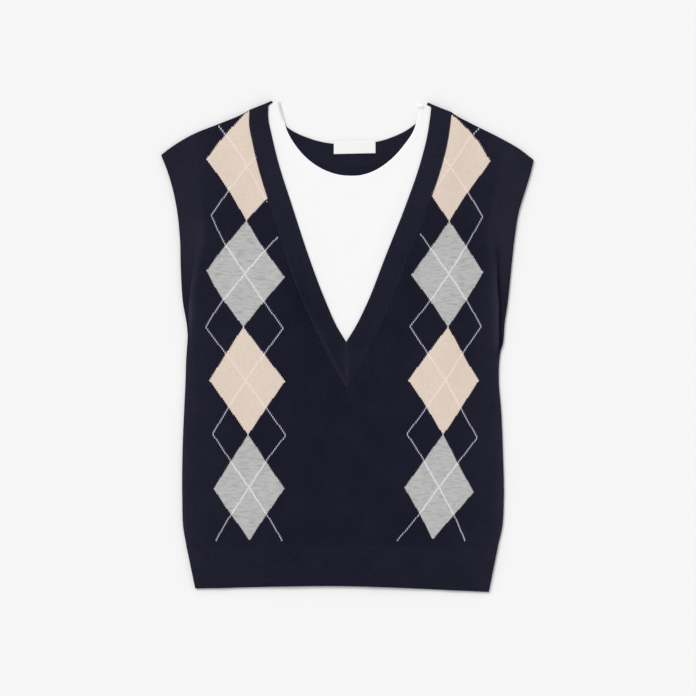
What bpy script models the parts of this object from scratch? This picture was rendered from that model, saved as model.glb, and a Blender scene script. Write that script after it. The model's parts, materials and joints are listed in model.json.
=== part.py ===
"""Sleeveless argyle sweater laid flat, front up, neck towards +Y, resting on Z = 0.

A fine-gauge knit front and back with ribbed hem and neck bands, a white jersey inset behind the
deep V and a plain neck label. The tables are in millimetres; meshes are made in metres.
"""

import math
from collections import namedtuple

import bmesh
import bpy
import numpy as np

MM = 0.001

# Walls of the cloths and the gap kept between pieces at a seam.
KNIT_WALL = 2.0
RIB_WALL = 2.4
JERSEY_WALL = 1.2
LABEL_WALL = 1.0
SEAM_GAP = 0.3

# Widths of the bands, and how far the inset reaches past the V seam under the front.
NECK_BAND_WIDTH = 25.0
INSET_ALLOWANCE = 6.0
HEM_SEAM_LEVEL = -240.0

# Undersides of the layers, from the surface up.
BACK_REST = 0.0
FRONT_REST = KNIT_WALL + SEAM_GAP
HEM_FRONT_REST = RIB_WALL + SEAM_GAP
INSET_REST = RIB_WALL + SEAM_GAP
FRONT_OVER_INSET = INSET_REST + JERSEY_WALL + SEAM_GAP
LABEL_REST = RIB_WALL + SEAM_GAP

# The front settles from the inset's height to the back within this distance of the V seam.
SETTLE_START = INSET_ALLOWANCE + 2.0
SETTLE_END = 34.0

# Side outline from the hem seam to the shoulder tips. A row is one section across the body.
Section = namedtuple("Section", "level left right")
SIDES = (
    Section(-240, -192.6, 181),
    Section(-218, -196.4, 186),
    Section(-185, -197.6, 188),
    Section(-130, -197.4, 187),
    Section(-80, -195.5, 185),
    Section(-40, -193.6, 182),
    Section(-18, -193, 182.6),
    Section(-6, -192.2, 184.2),
    Section(3, -191.6, 187.2),
    Section(12, -191.2, 188.2),
    Section(25, -192.2, 189),
    Section(50, -196.6, 192.6),
    Section(90, -199.4, 196.8),
    Section(130, -200.6, 201.2),
    Section(160, -203.6, 206),
    Section(190, -209.6, 215),
    Section(210, -215.6, 221),
)
LEFT_TIP = (-223, 229)
RIGHT_TIP = (224, 223)

# Hem edge of both bands: left corner, middle, right corner.
HEM_EDGE = ((-182, -291), (-8, -288), (170, -295))

# Folds of the front beside the armholes. Along each armhole edge the cloth lies flat in a strip of
# this width, left and right; past it the body stands up by the rise, over a flank of this width.
Tuck = namedtuple("Tuck", "level left right flank rise")
ARMHOLE_TUCK = (
    Tuck(-14, 1.5, 1.0, 3.0, 0.0),
    Tuck(0, 2.0, 3.4, 2.5, 1.6),
    Tuck(20, 2.4, 5.4, 2.2, 2.6),
    Tuck(34, 3.6, 7.0, 2.2, 3.0),
    Tuck(50, 6.8, 9.6, 2.2, 3.2),
    Tuck(72, 11.0, 13.4, 2.2, 3.2),
    Tuck(100, 15.7, 16.2, 3.5, 2.7),
    Tuck(122, 17.0, 18.0, 9.0, 2.0),
    Tuck(155, 17.0, 18.0, 12.0, 1.2),
    Tuck(205, 20.0, 22.0, 14.0, 0.0),
)
TUCK_FALL = 22.0  # from the top of the fold, how far in the body settles again

# Shoulder seams from the tip to the neck point.
LEFT_SHOULDER = (LEFT_TIP, (-212, 237.5), (-188, 252.3), (-152, 267.1), (-117, 283), (-104, 289), (-90, 294))
RIGHT_SHOULDER = (RIGHT_TIP, (208, 235.5), (184, 249.4), (148, 267.3), (124, 281), (112, 287), (97, 292))

# Free edges of the neck: the V from its point to the neck points, and the round back neck.
LEFT_V_EDGE = ((-1, 5), (-24, 50), (-46, 108), (-65, 166), (-83, 223), (-90, 254), (-93, 279), (-90, 294))
RIGHT_V_EDGE = ((-1, 5), (24, 50), (47, 108), (70, 166), (89, 223), (96, 252), (100, 278), (97, 292))
BACK_NECK_EDGE = (
    (-90, 294), (-84, 276), (-72, 263), (-44, 249), (4, 242), (52, 250), (76, 262), (90, 275), (97, 292)
)
OUTSIDE_BAND = 4  # the points of a shoulder seam that lie outside the neck band
V_SEAM_POINT = (0, -50)
LEFT_SEAM_TOP = (-117, 283)
RIGHT_SEAM_TOP = (124, 281)
MITRE_FADE = 60.0
SHOULDER_FADE = 30.0

# Round neckline of the inset, from its middle to the strap at each shoulder.
LEFT_INSET_NECK = (
    (4, 204.2), (-6, 204.5), (-24, 208.8), (-44, 220.6), (-62, 240.6), (-73, 261.5), (-77, 277), (-81, 294)
)
RIGHT_INSET_NECK = (
    (4, 204.2), (14, 204.6), (31, 209.5), (50, 221.6), (68, 240.6), (81, 261.3), (84.5, 277), (85, 292)
)
INSET_FOOT_POINT = (0, -42)
INSET_FOOT = 0.07
INSET_NECK_START = 0.68

LABEL_SIZE = (52.0, 13.0)
LABEL_CENTRE = (9.0, 237.0)

# Straight soft folds, each a ridge from start to end.
Fold = namedtuple("Fold", "start end half_width rise")
MITRE_RIDGE = Fold((-1, 5), (0, -54), 6, 0.8)
HEM_SWELL = Fold((-120, -292), (110, -292), 46, 1.2)
FOLD_FADE = 0.18

# How finely the edges and sheets are read.
NECK_STEPS = 24
SHOULDER_STEPS = 6
SEAM_ROUTE_STEPS = 16
DIRECTION_STEP = 0.01
CHEST_COLUMNS = 7
WELD_DISTANCE = 1e-6
SMOOTH_ANGLE = 40.0

# Middle of the whole outline, which is moved to the origin.
CENTRE = (
    (LEFT_TIP[0] + RIGHT_TIP[0]) / 2,
    (LEFT_SHOULDER[-1][1] + HEM_EDGE[2][1]) / 2,
)

Finish = namedtuple("Finish", "colour roughness")
FINISHES = {
    "navy_knit": Finish((0.0137, 0.0132, 0.0242), 0.9),
    "navy_rib": Finish((0.0140, 0.0135, 0.0240), 0.9),
    "white_jersey": Finish((0.83, 0.83, 0.83), 0.85),
    "label_weave": Finish((0.80, 0.80, 0.79), 0.6),
}


# ---- Curves ----

def smooth_step(t):
    t = min(max(t, 0.0), 1.0)
    return t * t * (3 - 2 * t)


def hermite(values, knots, at):
    """Value at `at` of the smooth curve through the values at their knots."""
    values = np.asarray(values, float)
    knots = np.asarray(knots, float)
    slopes = np.gradient(values, knots, axis=0)
    i = int(np.clip(np.searchsorted(knots, at) - 1, 0, len(knots) - 2))
    span = knots[i + 1] - knots[i]
    t = (at - knots[i]) / span
    start = (2 * t**3 - 3 * t**2 + 1) * values[i] + (t**3 - 2 * t**2 + t) * span * slopes[i]
    end = (3 * t**2 - 2 * t**3) * values[i + 1] + (t**3 - t**2) * span * slopes[i + 1]
    return start + end


def column(rows, side, level):
    """One column of a table of sections, read smoothly at a level."""
    return float(hermite([getattr(row, side) for row in rows], [row.level for row in rows], level))


def along(points, fraction):
    """Point at a fraction of the way along the smooth curve through the points."""
    points = np.asarray(points, float)
    steps = np.linalg.norm(np.diff(points, axis=0), axis=1)
    knots = np.concatenate([[0.0], np.cumsum(steps)]) / steps.sum()
    return hermite(points, knots, fraction)


def line(start, end, fraction):
    return np.asarray(start, float) * (1 - fraction) + np.asarray(end, float) * fraction


def fractions(count, start=0.0, end=1.0):
    return [start + (end - start) * i / count for i in range(count + 1)]


def band_point(edge, start_reach, end_reach, side, fraction, across):
    """Point of a band: `across` runs from its free edge, 0, to its seam, 1.

    The reaches are where the band's two ends meet the seam; between them it has its full width.
    `side` is +1 where the seam lies to the left of the edge's direction, and -1 where to the right.
    """
    here = along(edge, fraction)
    ahead = along(edge, min(fraction + DIRECTION_STEP, 1.0))
    behind = along(edge, max(fraction - DIRECTION_STEP, 0.0))
    run = (ahead - behind) / np.linalg.norm(ahead - behind)
    straight = side * NECK_BAND_WIDTH * np.array([-run[1], run[0]])
    length = sum(math.dist(a, b) for a, b in zip(edge, edge[1:]))
    start_fade, end_fade = (MITRE_FADE if end[1] < 0 else SHOULDER_FADE for end in (start_reach, end_reach))
    from_start = min(fraction * length / start_fade, 1.0)
    from_end = min((1 - fraction) * length / end_fade, 1.0)
    start_width = np.asarray(start_reach, float) - np.asarray(edge[0], float)
    end_width = np.asarray(end_reach, float) - np.asarray(edge[-1], float)
    width = line(start_width, straight, from_start) + line(end_width, straight, from_end) - straight
    return here + across * width


def left_band(fraction, across):
    return band_point(LEFT_V_EDGE, V_SEAM_POINT, LEFT_SEAM_TOP, 1, fraction, across)


def right_band(fraction, across):
    return band_point(RIGHT_V_EDGE, V_SEAM_POINT, RIGHT_SEAM_TOP, -1, fraction, across)


def back_band(fraction, across):
    return band_point(BACK_NECK_EDGE, LEFT_SEAM_TOP, RIGHT_SEAM_TOP, -1, fraction, across)


# ---- Surfaces ----

def patch(bottom, top, left, right):
    """Grid filled between four edges, each a list of points: rows run from bottom to top."""
    bottom, top, left, right = (np.asarray(edge, float) for edge in (bottom, top, left, right))
    u = np.linspace(0, 1, len(bottom))[None, :, None]
    v = np.linspace(0, 1, len(left))[:, None, None]
    across = (1 - u) * left[:, None] + u * right[:, None]
    up = (1 - v) * bottom[None] + v * top[None]
    low = (1 - u) * bottom[0] + u * bottom[-1]
    high = (1 - u) * top[0] + u * top[-1]
    return across + up - ((1 - v) * low + v * high)


def distance_to(x, y, route):
    """Distance from a point to a route of straight runs."""
    best = math.inf
    for (ax, ay), (bx, by) in zip(route, route[1:]):
        dx, dy = bx - ax, by - ay
        t = ((x - ax) * dx + (y - ay) * dy) / (dx * dx + dy * dy)
        t = min(max(t, 0.0), 1.0)
        best = min(best, math.hypot(x - ax - t * dx, y - ay - t * dy))
    return best


def fold_rise(fold, x, y):
    """Height that one fold adds: a cosine ridge that fades in and out along its length."""
    (ax, ay), (bx, by) = fold.start, fold.end
    length = math.hypot(bx - ax, by - ay)
    ux, uy = (bx - ax) / length, (by - ay) / length
    t = ((x - ax) * ux + (y - ay) * uy) / length
    off = abs((x - ax) * uy - (y - ay) * ux)
    if off >= fold.half_width:
        return 0.0
    ends = smooth_step(t / FOLD_FADE) * smooth_step((1 - t) / FOLD_FADE)
    return fold.rise * ends * math.cos(math.pi / 2 * off / fold.half_width) ** 2


# The V seam, down the left side and up the right, as straight runs to measure distances from.
SEAM_ROUTE = [tuple(left_band(f, 1)) for f in reversed(fractions(SEAM_ROUTE_STEPS))]
SEAM_ROUTE += [tuple(right_band(f, 1)) for f in fractions(SEAM_ROUTE_STEPS)[1:]]


def side_at(side, level):
    tip = LEFT_TIP if side == "left" else RIGHT_TIP
    return column(SIDES + (Section(tip[1], LEFT_TIP[0], RIGHT_TIP[0]),), side, level)


def tuck_at(side, level):
    """Width of the strip along the armhole edge, of the fold's flank, and the fold's rise."""
    level = min(max(level, ARMHOLE_TUCK[0].level), ARMHOLE_TUCK[-1].level)
    return (column(ARMHOLE_TUCK, name, level) for name in (side, "flank", "rise"))


def tuck_rise(x, y):
    side = "left" if x < 0 else "right"
    strip, flank, rise = tuck_at(side, y)
    past_strip = abs(x - side_at(side, y)) - strip
    return rise * smooth_step(past_strip / flank) * (1 - smooth_step((past_strip - flank) / TUCK_FALL))


def front_underside(x, y):
    settle = smooth_step((distance_to(x, y, SEAM_ROUTE) - SETTLE_START) / (SETTLE_END - SETTLE_START))
    return FRONT_OVER_INSET + (FRONT_REST - FRONT_OVER_INSET) * settle + tuck_rise(x, y)


def v_band_underside(x, y):
    return FRONT_OVER_INSET + fold_rise(MITRE_RIDGE, x, y)


def front_hem_underside(x, y):
    return HEM_FRONT_REST + fold_rise(HEM_SWELL, x, y)


def at_rest(level):
    return lambda x, y: level


# ---- Pieces ----

def finish_of(name):
    finish = FINISHES[name]
    material = bpy.data.materials.new(name)
    material.use_nodes = True
    shader = material.node_tree.nodes["Principled BSDF"]
    shader.inputs["Base Color"].default_value = (*finish.colour, 1)
    shader.inputs["Roughness"].default_value = finish.roughness
    shader.inputs["Metallic"].default_value = 0.0
    material.diffuse_color = (*finish.colour, 1)
    return material


def cloth(name, grids, underside, wall, finish, collection):
    """A cloth piece: the grids are its underside, joined where they share an edge, and Solidify
    gives it its wall upwards."""
    mesh = bpy.data.meshes.new(name)
    shell = bmesh.new()
    for grid in grids:
        rows = [
            [
                shell.verts.new(((x - CENTRE[0]) * MM, (y - CENTRE[1]) * MM, underside(x, y) * MM))
                for x, y in row
            ]
            for row in grid
        ]
        for lower, upper in zip(rows, rows[1:]):
            for i in range(len(lower) - 1):
                shell.faces.new((lower[i], lower[i + 1], upper[i + 1], upper[i]))
    bmesh.ops.remove_doubles(shell, verts=shell.verts, dist=WELD_DISTANCE)
    bmesh.ops.recalc_face_normals(shell, faces=shell.faces)
    if sum(face.normal.z * face.calc_area() for face in shell.faces) < 0:
        bmesh.ops.reverse_faces(shell, faces=shell.faces)
    shell.to_mesh(mesh)
    shell.free()
    mesh.shade_smooth()
    mesh.set_sharp_from_angle(angle=math.radians(SMOOTH_ANGLE))
    mesh.materials.append(finish)
    piece = bpy.data.objects.new(name, mesh)
    collection.objects.link(piece)
    thick = piece.modifiers.new("wall", "SOLIDIFY")
    thick.thickness = wall * MM
    thick.offset = 1.0
    return piece


def side_edges(side, count, top):
    """Side of the body from the hem seam to the shoulder tip, in rows that end at the V's level."""
    tip = LEFT_TIP if side == "left" else RIGHT_TIP
    levels = [HEM_SEAM_LEVEL + (top - HEM_SEAM_LEVEL) * fraction for fraction in fractions(count)]
    levels += [top + (tip[1] - top) * fraction for fraction in fractions(2 * count)[1:]]
    return [(side_at(side, level), level) for level in levels]


def shoulder_to(shoulder, corner):
    """Shoulder seam from its tip to a panel's corner at the neck band."""
    return shoulder[:OUTSIDE_BAND] + (tuple(corner),)


def columns_across(side, level, width):
    """Where the columns of one row of the front stand: on the armhole fold's lines, then evenly."""
    strip, flank, _ = tuck_at(side, level)
    top = strip + flank
    near = [0, strip / 2, strip, strip + flank / 2, top, top + TUCK_FALL / 2, top + TUCK_FALL]
    chest = [near[-1] + (width - near[-1]) * f for f in fractions(CHEST_COLUMNS)[1:]]
    return [reach / width for reach in near + chest]


def half_of_front(side, rows=12):
    """One half of the front: from the side to the centre line, and above that to the V seam."""
    band = left_band if side == "left" else right_band
    past_seam = 1 + SEAM_GAP / NECK_BAND_WIDTH
    apex = band(0, past_seam)
    outer = side_edges(side, rows, apex[1])
    inner = [line((apex[0], HEM_SEAM_LEVEL), apex, f) for f in fractions(rows)]
    inner += [band(f, past_seam) for f in fractions(2 * rows)[1:]]
    seam = shoulder_to(LEFT_SHOULDER if side == "left" else RIGHT_SHOULDER, inner[-1])
    grid = []
    for v, out, end in zip(fractions(len(outer) - 1), outer, inner):
        columns = columns_across(side, out[1], math.dist(out, end))
        bow = [along(seam, u) - line(outer[-1], inner[-1], u) for u in columns]
        grid.append([line(out, end, u) + v * arch for u, arch in zip(columns, bow)])
    return grid


def back_panel(finish, collection, rows=10):
    past_seam = 1 + SEAM_GAP / NECK_BAND_WIDTH
    neck = [back_band(f, past_seam) for f in fractions(NECK_STEPS)]
    left_shoulder = shoulder_to(LEFT_SHOULDER, neck[0])
    right_shoulder = shoulder_to(RIGHT_SHOULDER, neck[-1])
    top = [along(left_shoulder, f) for f in fractions(SHOULDER_STEPS)] + neck[1:]
    top += [along(right_shoulder, 1 - f) for f in fractions(SHOULDER_STEPS)[1:]]
    left, right = (side_edges(side, rows, V_SEAM_POINT[1]) for side in ("left", "right"))
    bottom = [line(left[0], right[0], f) for f in fractions(len(top) - 1)]
    grid = patch(bottom, top, left, right)
    return cloth("back_panel", [grid], at_rest(BACK_REST), KNIT_WALL, finish, collection)


def front_panel(finish, collection):
    halves = [half_of_front("left"), half_of_front("right")]
    return cloth("front_panel", halves, front_underside, KNIT_WALL, finish, collection)


def hem_band(name, underside, finish, collection, rows=4, columns=24):
    """Hem band: from the hem edge up to the seam with its panel."""
    seam = HEM_SEAM_LEVEL - SEAM_GAP
    seam_left, seam_right = (SIDES[0].left, seam), (SIDES[0].right, seam)
    bottom = [along(HEM_EDGE, f) for f in fractions(columns)]
    top = [line(seam_left, seam_right, f) for f in fractions(columns)]
    left = [line(HEM_EDGE[0], seam_left, f) for f in fractions(rows)]
    right = [line(HEM_EDGE[2], seam_right, f) for f in fractions(rows)]
    return cloth(name, [patch(bottom, top, left, right)], underside, RIB_WALL, finish, collection)


def neck_band(name, band, underside, shift, finish, collection, columns=5):
    """Neck band along its free edge. `shift` opens half the seam gap at the mitre."""
    grid = [[band(f, a) + (shift, 0) for a in fractions(columns)] for f in fractions(NECK_STEPS)]
    return cloth(name, [grid], underside, RIB_WALL, finish, collection)


def inset_half(band, neck, rows=14, columns=6):
    """One half of the inset: up its centre line, then round its neckline to the strap."""
    reach = 1 + INSET_ALLOWANCE / NECK_BAND_WIDTH
    body = [band(f, reach) for f in fractions(rows, INSET_FOOT, INSET_NECK_START)]
    strap = [band(f, reach) for f in fractions(rows, INSET_NECK_START, 1)]
    centre = [line(INSET_FOOT_POINT, neck[0], f) for f in fractions(rows)]
    neckline = [along(neck, f) for f in fractions(rows)]
    outer, inner = body + strap[1:], centre + neckline[1:]
    bottom = [line(outer[0], inner[0], f) for f in fractions(columns)]
    top = [line(outer[-1], inner[-1], f) for f in fractions(columns)]
    return patch(bottom, top, outer, inner)


def inset_panel(finish, collection):
    halves = [inset_half(left_band, LEFT_INSET_NECK), inset_half(right_band, RIGHT_INSET_NECK)]
    return cloth("inset_panel", halves, at_rest(INSET_REST), JERSEY_WALL, finish, collection)


def neck_label(finish, collection):
    """Woven label, folded flat and sewn to the inner face of the back neck band."""
    bpy.ops.mesh.primitive_cube_add(size=1)
    label = bpy.context.object
    label.name = "neck_label"
    label.dimensions = (LABEL_SIZE[0] * MM, LABEL_SIZE[1] * MM, LABEL_WALL * MM)
    label.location = (
        (LABEL_CENTRE[0] - CENTRE[0]) * MM,
        (LABEL_CENTRE[1] - CENTRE[1]) * MM,
        (LABEL_REST + LABEL_WALL / 2) * MM,
    )
    bpy.ops.object.transform_apply(location=False, rotation=False, scale=True)
    label.data.materials.append(finish)
    for home in list(label.users_collection):
        home.objects.unlink(label)
    collection.objects.link(label)
    return label


def clear_scene():
    for leftover in list(bpy.data.objects):
        bpy.data.objects.remove(leftover, do_unlink=True)


def build():
    clear_scene()
    sweater = bpy.data.collections.new("argyle_sweater")
    bpy.context.scene.collection.children.link(sweater)
    finishes = {name: finish_of(name) for name in FINISHES}
    knit, rib = finishes["navy_knit"], finishes["navy_rib"]
    half_gap = SEAM_GAP / 2
    back_panel(knit, sweater)
    hem_band("back_hem_band", at_rest(BACK_REST), rib, sweater)
    neck_band("back_neck_band", back_band, at_rest(BACK_REST), 0, rib, sweater)
    neck_label(finishes["label_weave"], sweater)
    inset_panel(finishes["white_jersey"], sweater)
    front_panel(knit, sweater)
    hem_band("front_hem_band", front_hem_underside, rib, sweater)
    neck_band("v_band_left", left_band, v_band_underside, -half_gap, rib, sweater)
    neck_band("v_band_right", right_band, v_band_underside, half_gap, rib, sweater)


build()
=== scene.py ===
"""A sleeveless argyle sweater laid flat on a pale table, front up and neck away from the viewer.

The sections follow the garment as it is put together: the back, the hem and neck bands and the
label, the white inset, then the argyle front, the V bands, and the lines that are darned on last.
Lengths are in millimetres, and meshes are made in metres.
"""

import json
import math
from collections import namedtuple
from functools import partial, partialmethod

import bpy
import numpy as np
from mathutils import kdtree
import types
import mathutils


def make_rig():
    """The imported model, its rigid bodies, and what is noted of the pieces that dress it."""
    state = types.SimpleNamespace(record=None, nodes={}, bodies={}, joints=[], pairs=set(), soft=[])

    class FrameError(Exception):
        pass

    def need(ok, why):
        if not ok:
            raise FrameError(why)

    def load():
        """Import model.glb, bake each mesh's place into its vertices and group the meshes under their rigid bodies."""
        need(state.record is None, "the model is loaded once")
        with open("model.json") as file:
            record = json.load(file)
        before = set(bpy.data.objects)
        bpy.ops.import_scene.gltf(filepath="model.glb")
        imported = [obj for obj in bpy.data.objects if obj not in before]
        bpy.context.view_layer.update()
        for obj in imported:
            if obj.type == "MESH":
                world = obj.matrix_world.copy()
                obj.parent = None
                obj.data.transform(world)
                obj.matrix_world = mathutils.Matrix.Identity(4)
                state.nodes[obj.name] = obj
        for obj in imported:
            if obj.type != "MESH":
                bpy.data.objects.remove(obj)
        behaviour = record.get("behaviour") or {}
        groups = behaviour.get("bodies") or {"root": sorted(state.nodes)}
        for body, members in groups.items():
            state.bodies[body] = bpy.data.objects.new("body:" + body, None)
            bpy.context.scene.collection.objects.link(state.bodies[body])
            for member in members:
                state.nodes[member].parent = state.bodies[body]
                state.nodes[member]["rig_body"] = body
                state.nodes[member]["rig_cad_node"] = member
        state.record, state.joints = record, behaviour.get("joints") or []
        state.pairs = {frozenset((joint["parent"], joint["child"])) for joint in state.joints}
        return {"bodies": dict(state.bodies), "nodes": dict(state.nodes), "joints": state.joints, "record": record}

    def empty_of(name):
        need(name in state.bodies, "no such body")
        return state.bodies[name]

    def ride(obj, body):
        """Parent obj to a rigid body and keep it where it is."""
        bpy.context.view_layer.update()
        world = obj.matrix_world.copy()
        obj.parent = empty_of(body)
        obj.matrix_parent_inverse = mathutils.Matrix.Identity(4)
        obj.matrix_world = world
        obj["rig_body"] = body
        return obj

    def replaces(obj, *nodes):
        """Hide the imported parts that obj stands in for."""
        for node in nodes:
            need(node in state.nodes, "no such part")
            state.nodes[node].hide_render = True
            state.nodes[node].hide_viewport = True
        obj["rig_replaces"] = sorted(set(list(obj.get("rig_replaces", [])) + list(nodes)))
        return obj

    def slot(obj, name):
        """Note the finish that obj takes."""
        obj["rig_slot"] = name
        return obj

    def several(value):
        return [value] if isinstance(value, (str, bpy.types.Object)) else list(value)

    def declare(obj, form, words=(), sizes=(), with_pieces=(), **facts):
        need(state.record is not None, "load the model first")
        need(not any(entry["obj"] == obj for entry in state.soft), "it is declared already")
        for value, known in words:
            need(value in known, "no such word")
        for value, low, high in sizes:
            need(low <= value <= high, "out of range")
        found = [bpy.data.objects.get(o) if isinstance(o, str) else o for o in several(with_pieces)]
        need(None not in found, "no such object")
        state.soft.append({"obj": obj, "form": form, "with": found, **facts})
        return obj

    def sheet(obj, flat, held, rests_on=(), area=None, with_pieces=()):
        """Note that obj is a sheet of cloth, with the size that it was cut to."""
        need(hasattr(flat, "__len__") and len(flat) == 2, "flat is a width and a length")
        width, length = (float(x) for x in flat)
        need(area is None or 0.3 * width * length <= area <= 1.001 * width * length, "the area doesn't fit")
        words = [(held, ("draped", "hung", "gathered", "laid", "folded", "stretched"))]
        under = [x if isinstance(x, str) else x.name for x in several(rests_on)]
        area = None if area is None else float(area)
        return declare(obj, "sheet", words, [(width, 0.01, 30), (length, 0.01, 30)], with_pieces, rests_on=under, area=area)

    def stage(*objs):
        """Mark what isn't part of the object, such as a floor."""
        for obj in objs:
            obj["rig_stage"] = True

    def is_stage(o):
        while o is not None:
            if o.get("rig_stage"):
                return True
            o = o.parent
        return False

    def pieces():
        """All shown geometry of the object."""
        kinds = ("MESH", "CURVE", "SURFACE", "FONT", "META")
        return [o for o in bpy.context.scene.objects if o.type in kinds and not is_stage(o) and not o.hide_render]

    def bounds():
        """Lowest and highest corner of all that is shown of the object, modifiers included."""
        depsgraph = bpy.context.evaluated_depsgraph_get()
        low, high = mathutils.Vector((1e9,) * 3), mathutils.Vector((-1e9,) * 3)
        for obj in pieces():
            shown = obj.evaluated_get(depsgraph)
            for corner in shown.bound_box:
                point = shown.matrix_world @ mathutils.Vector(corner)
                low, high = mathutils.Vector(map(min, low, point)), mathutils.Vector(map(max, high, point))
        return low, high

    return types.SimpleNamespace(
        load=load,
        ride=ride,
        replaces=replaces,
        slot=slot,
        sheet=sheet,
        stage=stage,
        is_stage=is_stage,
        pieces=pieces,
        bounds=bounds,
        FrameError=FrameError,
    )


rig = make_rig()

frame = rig.load()
cad_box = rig.bounds()


# ---- The table, the daylight and the camera ----
# The garment lies on a plain pale table top under an even sky. One broad lamp stands beyond the
# left shoulder, and the camera hangs straight above the chest.

MM = 0.001
TABLE_RADIUS = 30.0
TABLE_WHITE = 0.93
SKY_SHARE = 0.62
LAMP_HEIGHT = math.radians(52)
LAMP_BEARING = math.radians(128)
LAMP_SPREAD = math.radians(28)
CAMERA_PLACE = (0.7 * MM, -1.9 * MM, 2.5)
CAMERA_WIDTH_SEEN = 836.2 * MM


def add_node(tree, kind, inputs=None, **settings):
    """A node with its settings, and its inputs: each a value, another node or one of its outputs."""
    node = tree.nodes.new(kind)
    for name, value in settings.items():
        setattr(node, name, value)
    for name, value in (inputs or {}).items():
        if isinstance(value, bpy.types.Node):
            value = value.outputs[0]
        value = getattr(value, "socket", value)
        if isinstance(value, bpy.types.NodeSocket):
            tree.links.new(value, node.inputs[name])
        else:
            node.inputs[name].default_value = value
    return node


def new_finish(name, colour, roughness, specular, **sheen):
    """A Principled material with its constant values set on the shader's own sockets."""
    finish = bpy.data.materials.new(name)
    finish.use_nodes = True
    values = {"Base Color": (*colour, 1), "Roughness": roughness, "Specular IOR Level": specular}
    values.update({part.replace("_", " ").title(): value for part, value in sheen.items()})
    for socket, value in values.items():
        finish.node_tree.nodes["Principled BSDF"].inputs[socket].default_value = value
    return finish


bpy.ops.mesh.primitive_circle_add(vertices=96, radius=TABLE_RADIUS, fill_type="NGON")
table_top = bpy.context.object
table_top.name = "table_top"
table_white = new_finish("table_white", (TABLE_WHITE,) * 3, roughness=1.0, specular=0.0)
table_top.data.materials.append(table_white)
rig.stage(table_top)

sky = bpy.data.worlds.new("even_sky")
bpy.context.scene.world = sky
sky.use_nodes = True
sky_light = sky.node_tree.nodes["Background"]
sky_light.inputs["Color"].default_value = (1, 1, 1, 1)
sky_light.inputs["Strength"].default_value = SKY_SHARE
seen_sky = add_node(
    sky.node_tree, "ShaderNodeBackground", {"Color": (1, 1, 1, 1), "Strength": TABLE_WHITE}
)
sky_rays = add_node(sky.node_tree, "ShaderNodeLightPath").outputs
seen_share = sky_rays["Is Camera Ray"]
for other_rays in ("Is Glossy Ray", "Is Transmission Ray"):
    seen_share = add_node(
        sky.node_tree, "ShaderNodeMath", {0: seen_share, 1: sky_rays[other_rays]}, operation="MAXIMUM"
    )
sky_choice = add_node(sky.node_tree, "ShaderNodeMixShader", {0: seen_share, 1: sky_light, 2: seen_sky})
sky.node_tree.links.new(sky_choice.outputs[0], sky.node_tree.nodes["World Output"].inputs["Surface"])

lamp_light = bpy.data.lights.new("broad_lamp", "SUN")
lamp_light.energy = math.pi * (1 - SKY_SHARE) / math.sin(LAMP_HEIGHT)
lamp_light.angle = LAMP_SPREAD
lamp = bpy.data.objects.new("broad_lamp", lamp_light)
lamp.rotation_euler = (math.pi / 2 - LAMP_HEIGHT, 0, LAMP_BEARING + math.pi / 2)
bpy.context.scene.collection.objects.link(lamp)

camera_lens = bpy.data.cameras.new("camera")
camera_lens.lens = camera_lens.sensor_width * CAMERA_PLACE[2] / CAMERA_WIDTH_SEEN
camera = bpy.data.objects.new("camera", camera_lens)
camera.location = CAMERA_PLACE
bpy.context.scene.collection.objects.link(camera)
bpy.context.scene.camera = camera
bpy.context.scene.view_settings.view_transform = "Standard"


# ---- Back ----
# One piece of fine stockinette in navy wool, cast off at the shoulders and linked to the front
# there and down the sides. It lies flat on the table, and shows in the neck and at the armholes.

KNIT_WALL = 2.0
SEAM_GAP = 0.3
NECK_BAND_WIDTH = 25.0
HEM_SEAM_LEVEL = -240.0
BACK_STEP, BACK_LENGTH, SHOULDER_LENGTH = 4.5, 470.0, 110.0
# How many points mark a line: a long seam, the back neck, an edge, a shoulder seam, a short end.
SEAM_MARKS, NECK_MARKS, EDGE_MARKS, SHOULDER_MARKS, END_MARKS = 900, 700, 400, 300, 60
OUTWARD = {"left": -1, "right": 1}


def table(columns, *rows):
    """Rows of numbers, each read by the names of its columns."""
    Row = namedtuple("Row", columns)
    return [Row(*row) for row in rows]


# Side outline from the hem seam to the shoulder tips. A row is one section across the body.
SECTION = "level left right"
SIDES = table(
    SECTION,
    (-240, -192.6, 181),
    (-218, -196.4, 186),
    (-185, -197.6, 188),
    (-130, -197.4, 187),
    (-80, -195.5, 185),
    (-40, -193.6, 182),
    (-18, -193, 182.6),
    (-6, -192.2, 184.2),
    (3, -191.6, 187.2),
    (12, -191.2, 188.2),
    (25, -192.2, 189),
    (50, -196.6, 192.6),
    (90, -199.4, 196.8),
    (130, -200.6, 201.2),
    (160, -203.6, 206),
    (190, -209.6, 215),
    (210, -215.6, 221),
)
# Each shoulder seam, from its tip to the corner of the neckline.
SHOULDER = {
    "left": (
        (-223, 229), (-212, 237.5), (-188, 252.3), (-152, 267.1), (-126, 277.8), (-116.2, 283.4),
        (-104, 289), (-90, 294),
    ),
    "right": (
        (224, 223), (208, 235.5), (184, 249.4), (148, 267.3), (130, 276.9), (124.6, 280.7),
        (112, 287), (97, 292),
    ),
}
OUTSIDE_BAND = 5  # how many points of a shoulder seam lie outside the neck band
TIP = {side: seam[0] for side, seam in SHOULDER.items()}
SEAM_TOP = {side: seam[OUTSIDE_BAND] for side, seam in SHOULDER.items()}
HEM_EDGE = ((-182, -291), (-8, -288), (170, -295))
BACK_NECK_EDGE = (
    (-90, 294), (-84, 276), (-72, 263), (-44, 249), (4, 242), (52, 250), (76, 262), (90, 275), (97, 292)
)
V_SEAM_POINT = (0, -50)
MITRE_FADE = 60.0
SHOULDER_FADE = 30.0

# The middle of the whole outline lies at the frame's origin.
CENTRE = np.array([
    (TIP["left"][0] + TIP["right"][0]) / 2, (SHOULDER["left"][-1][1] + HEM_EDGE[2][1]) / 2
])


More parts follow.
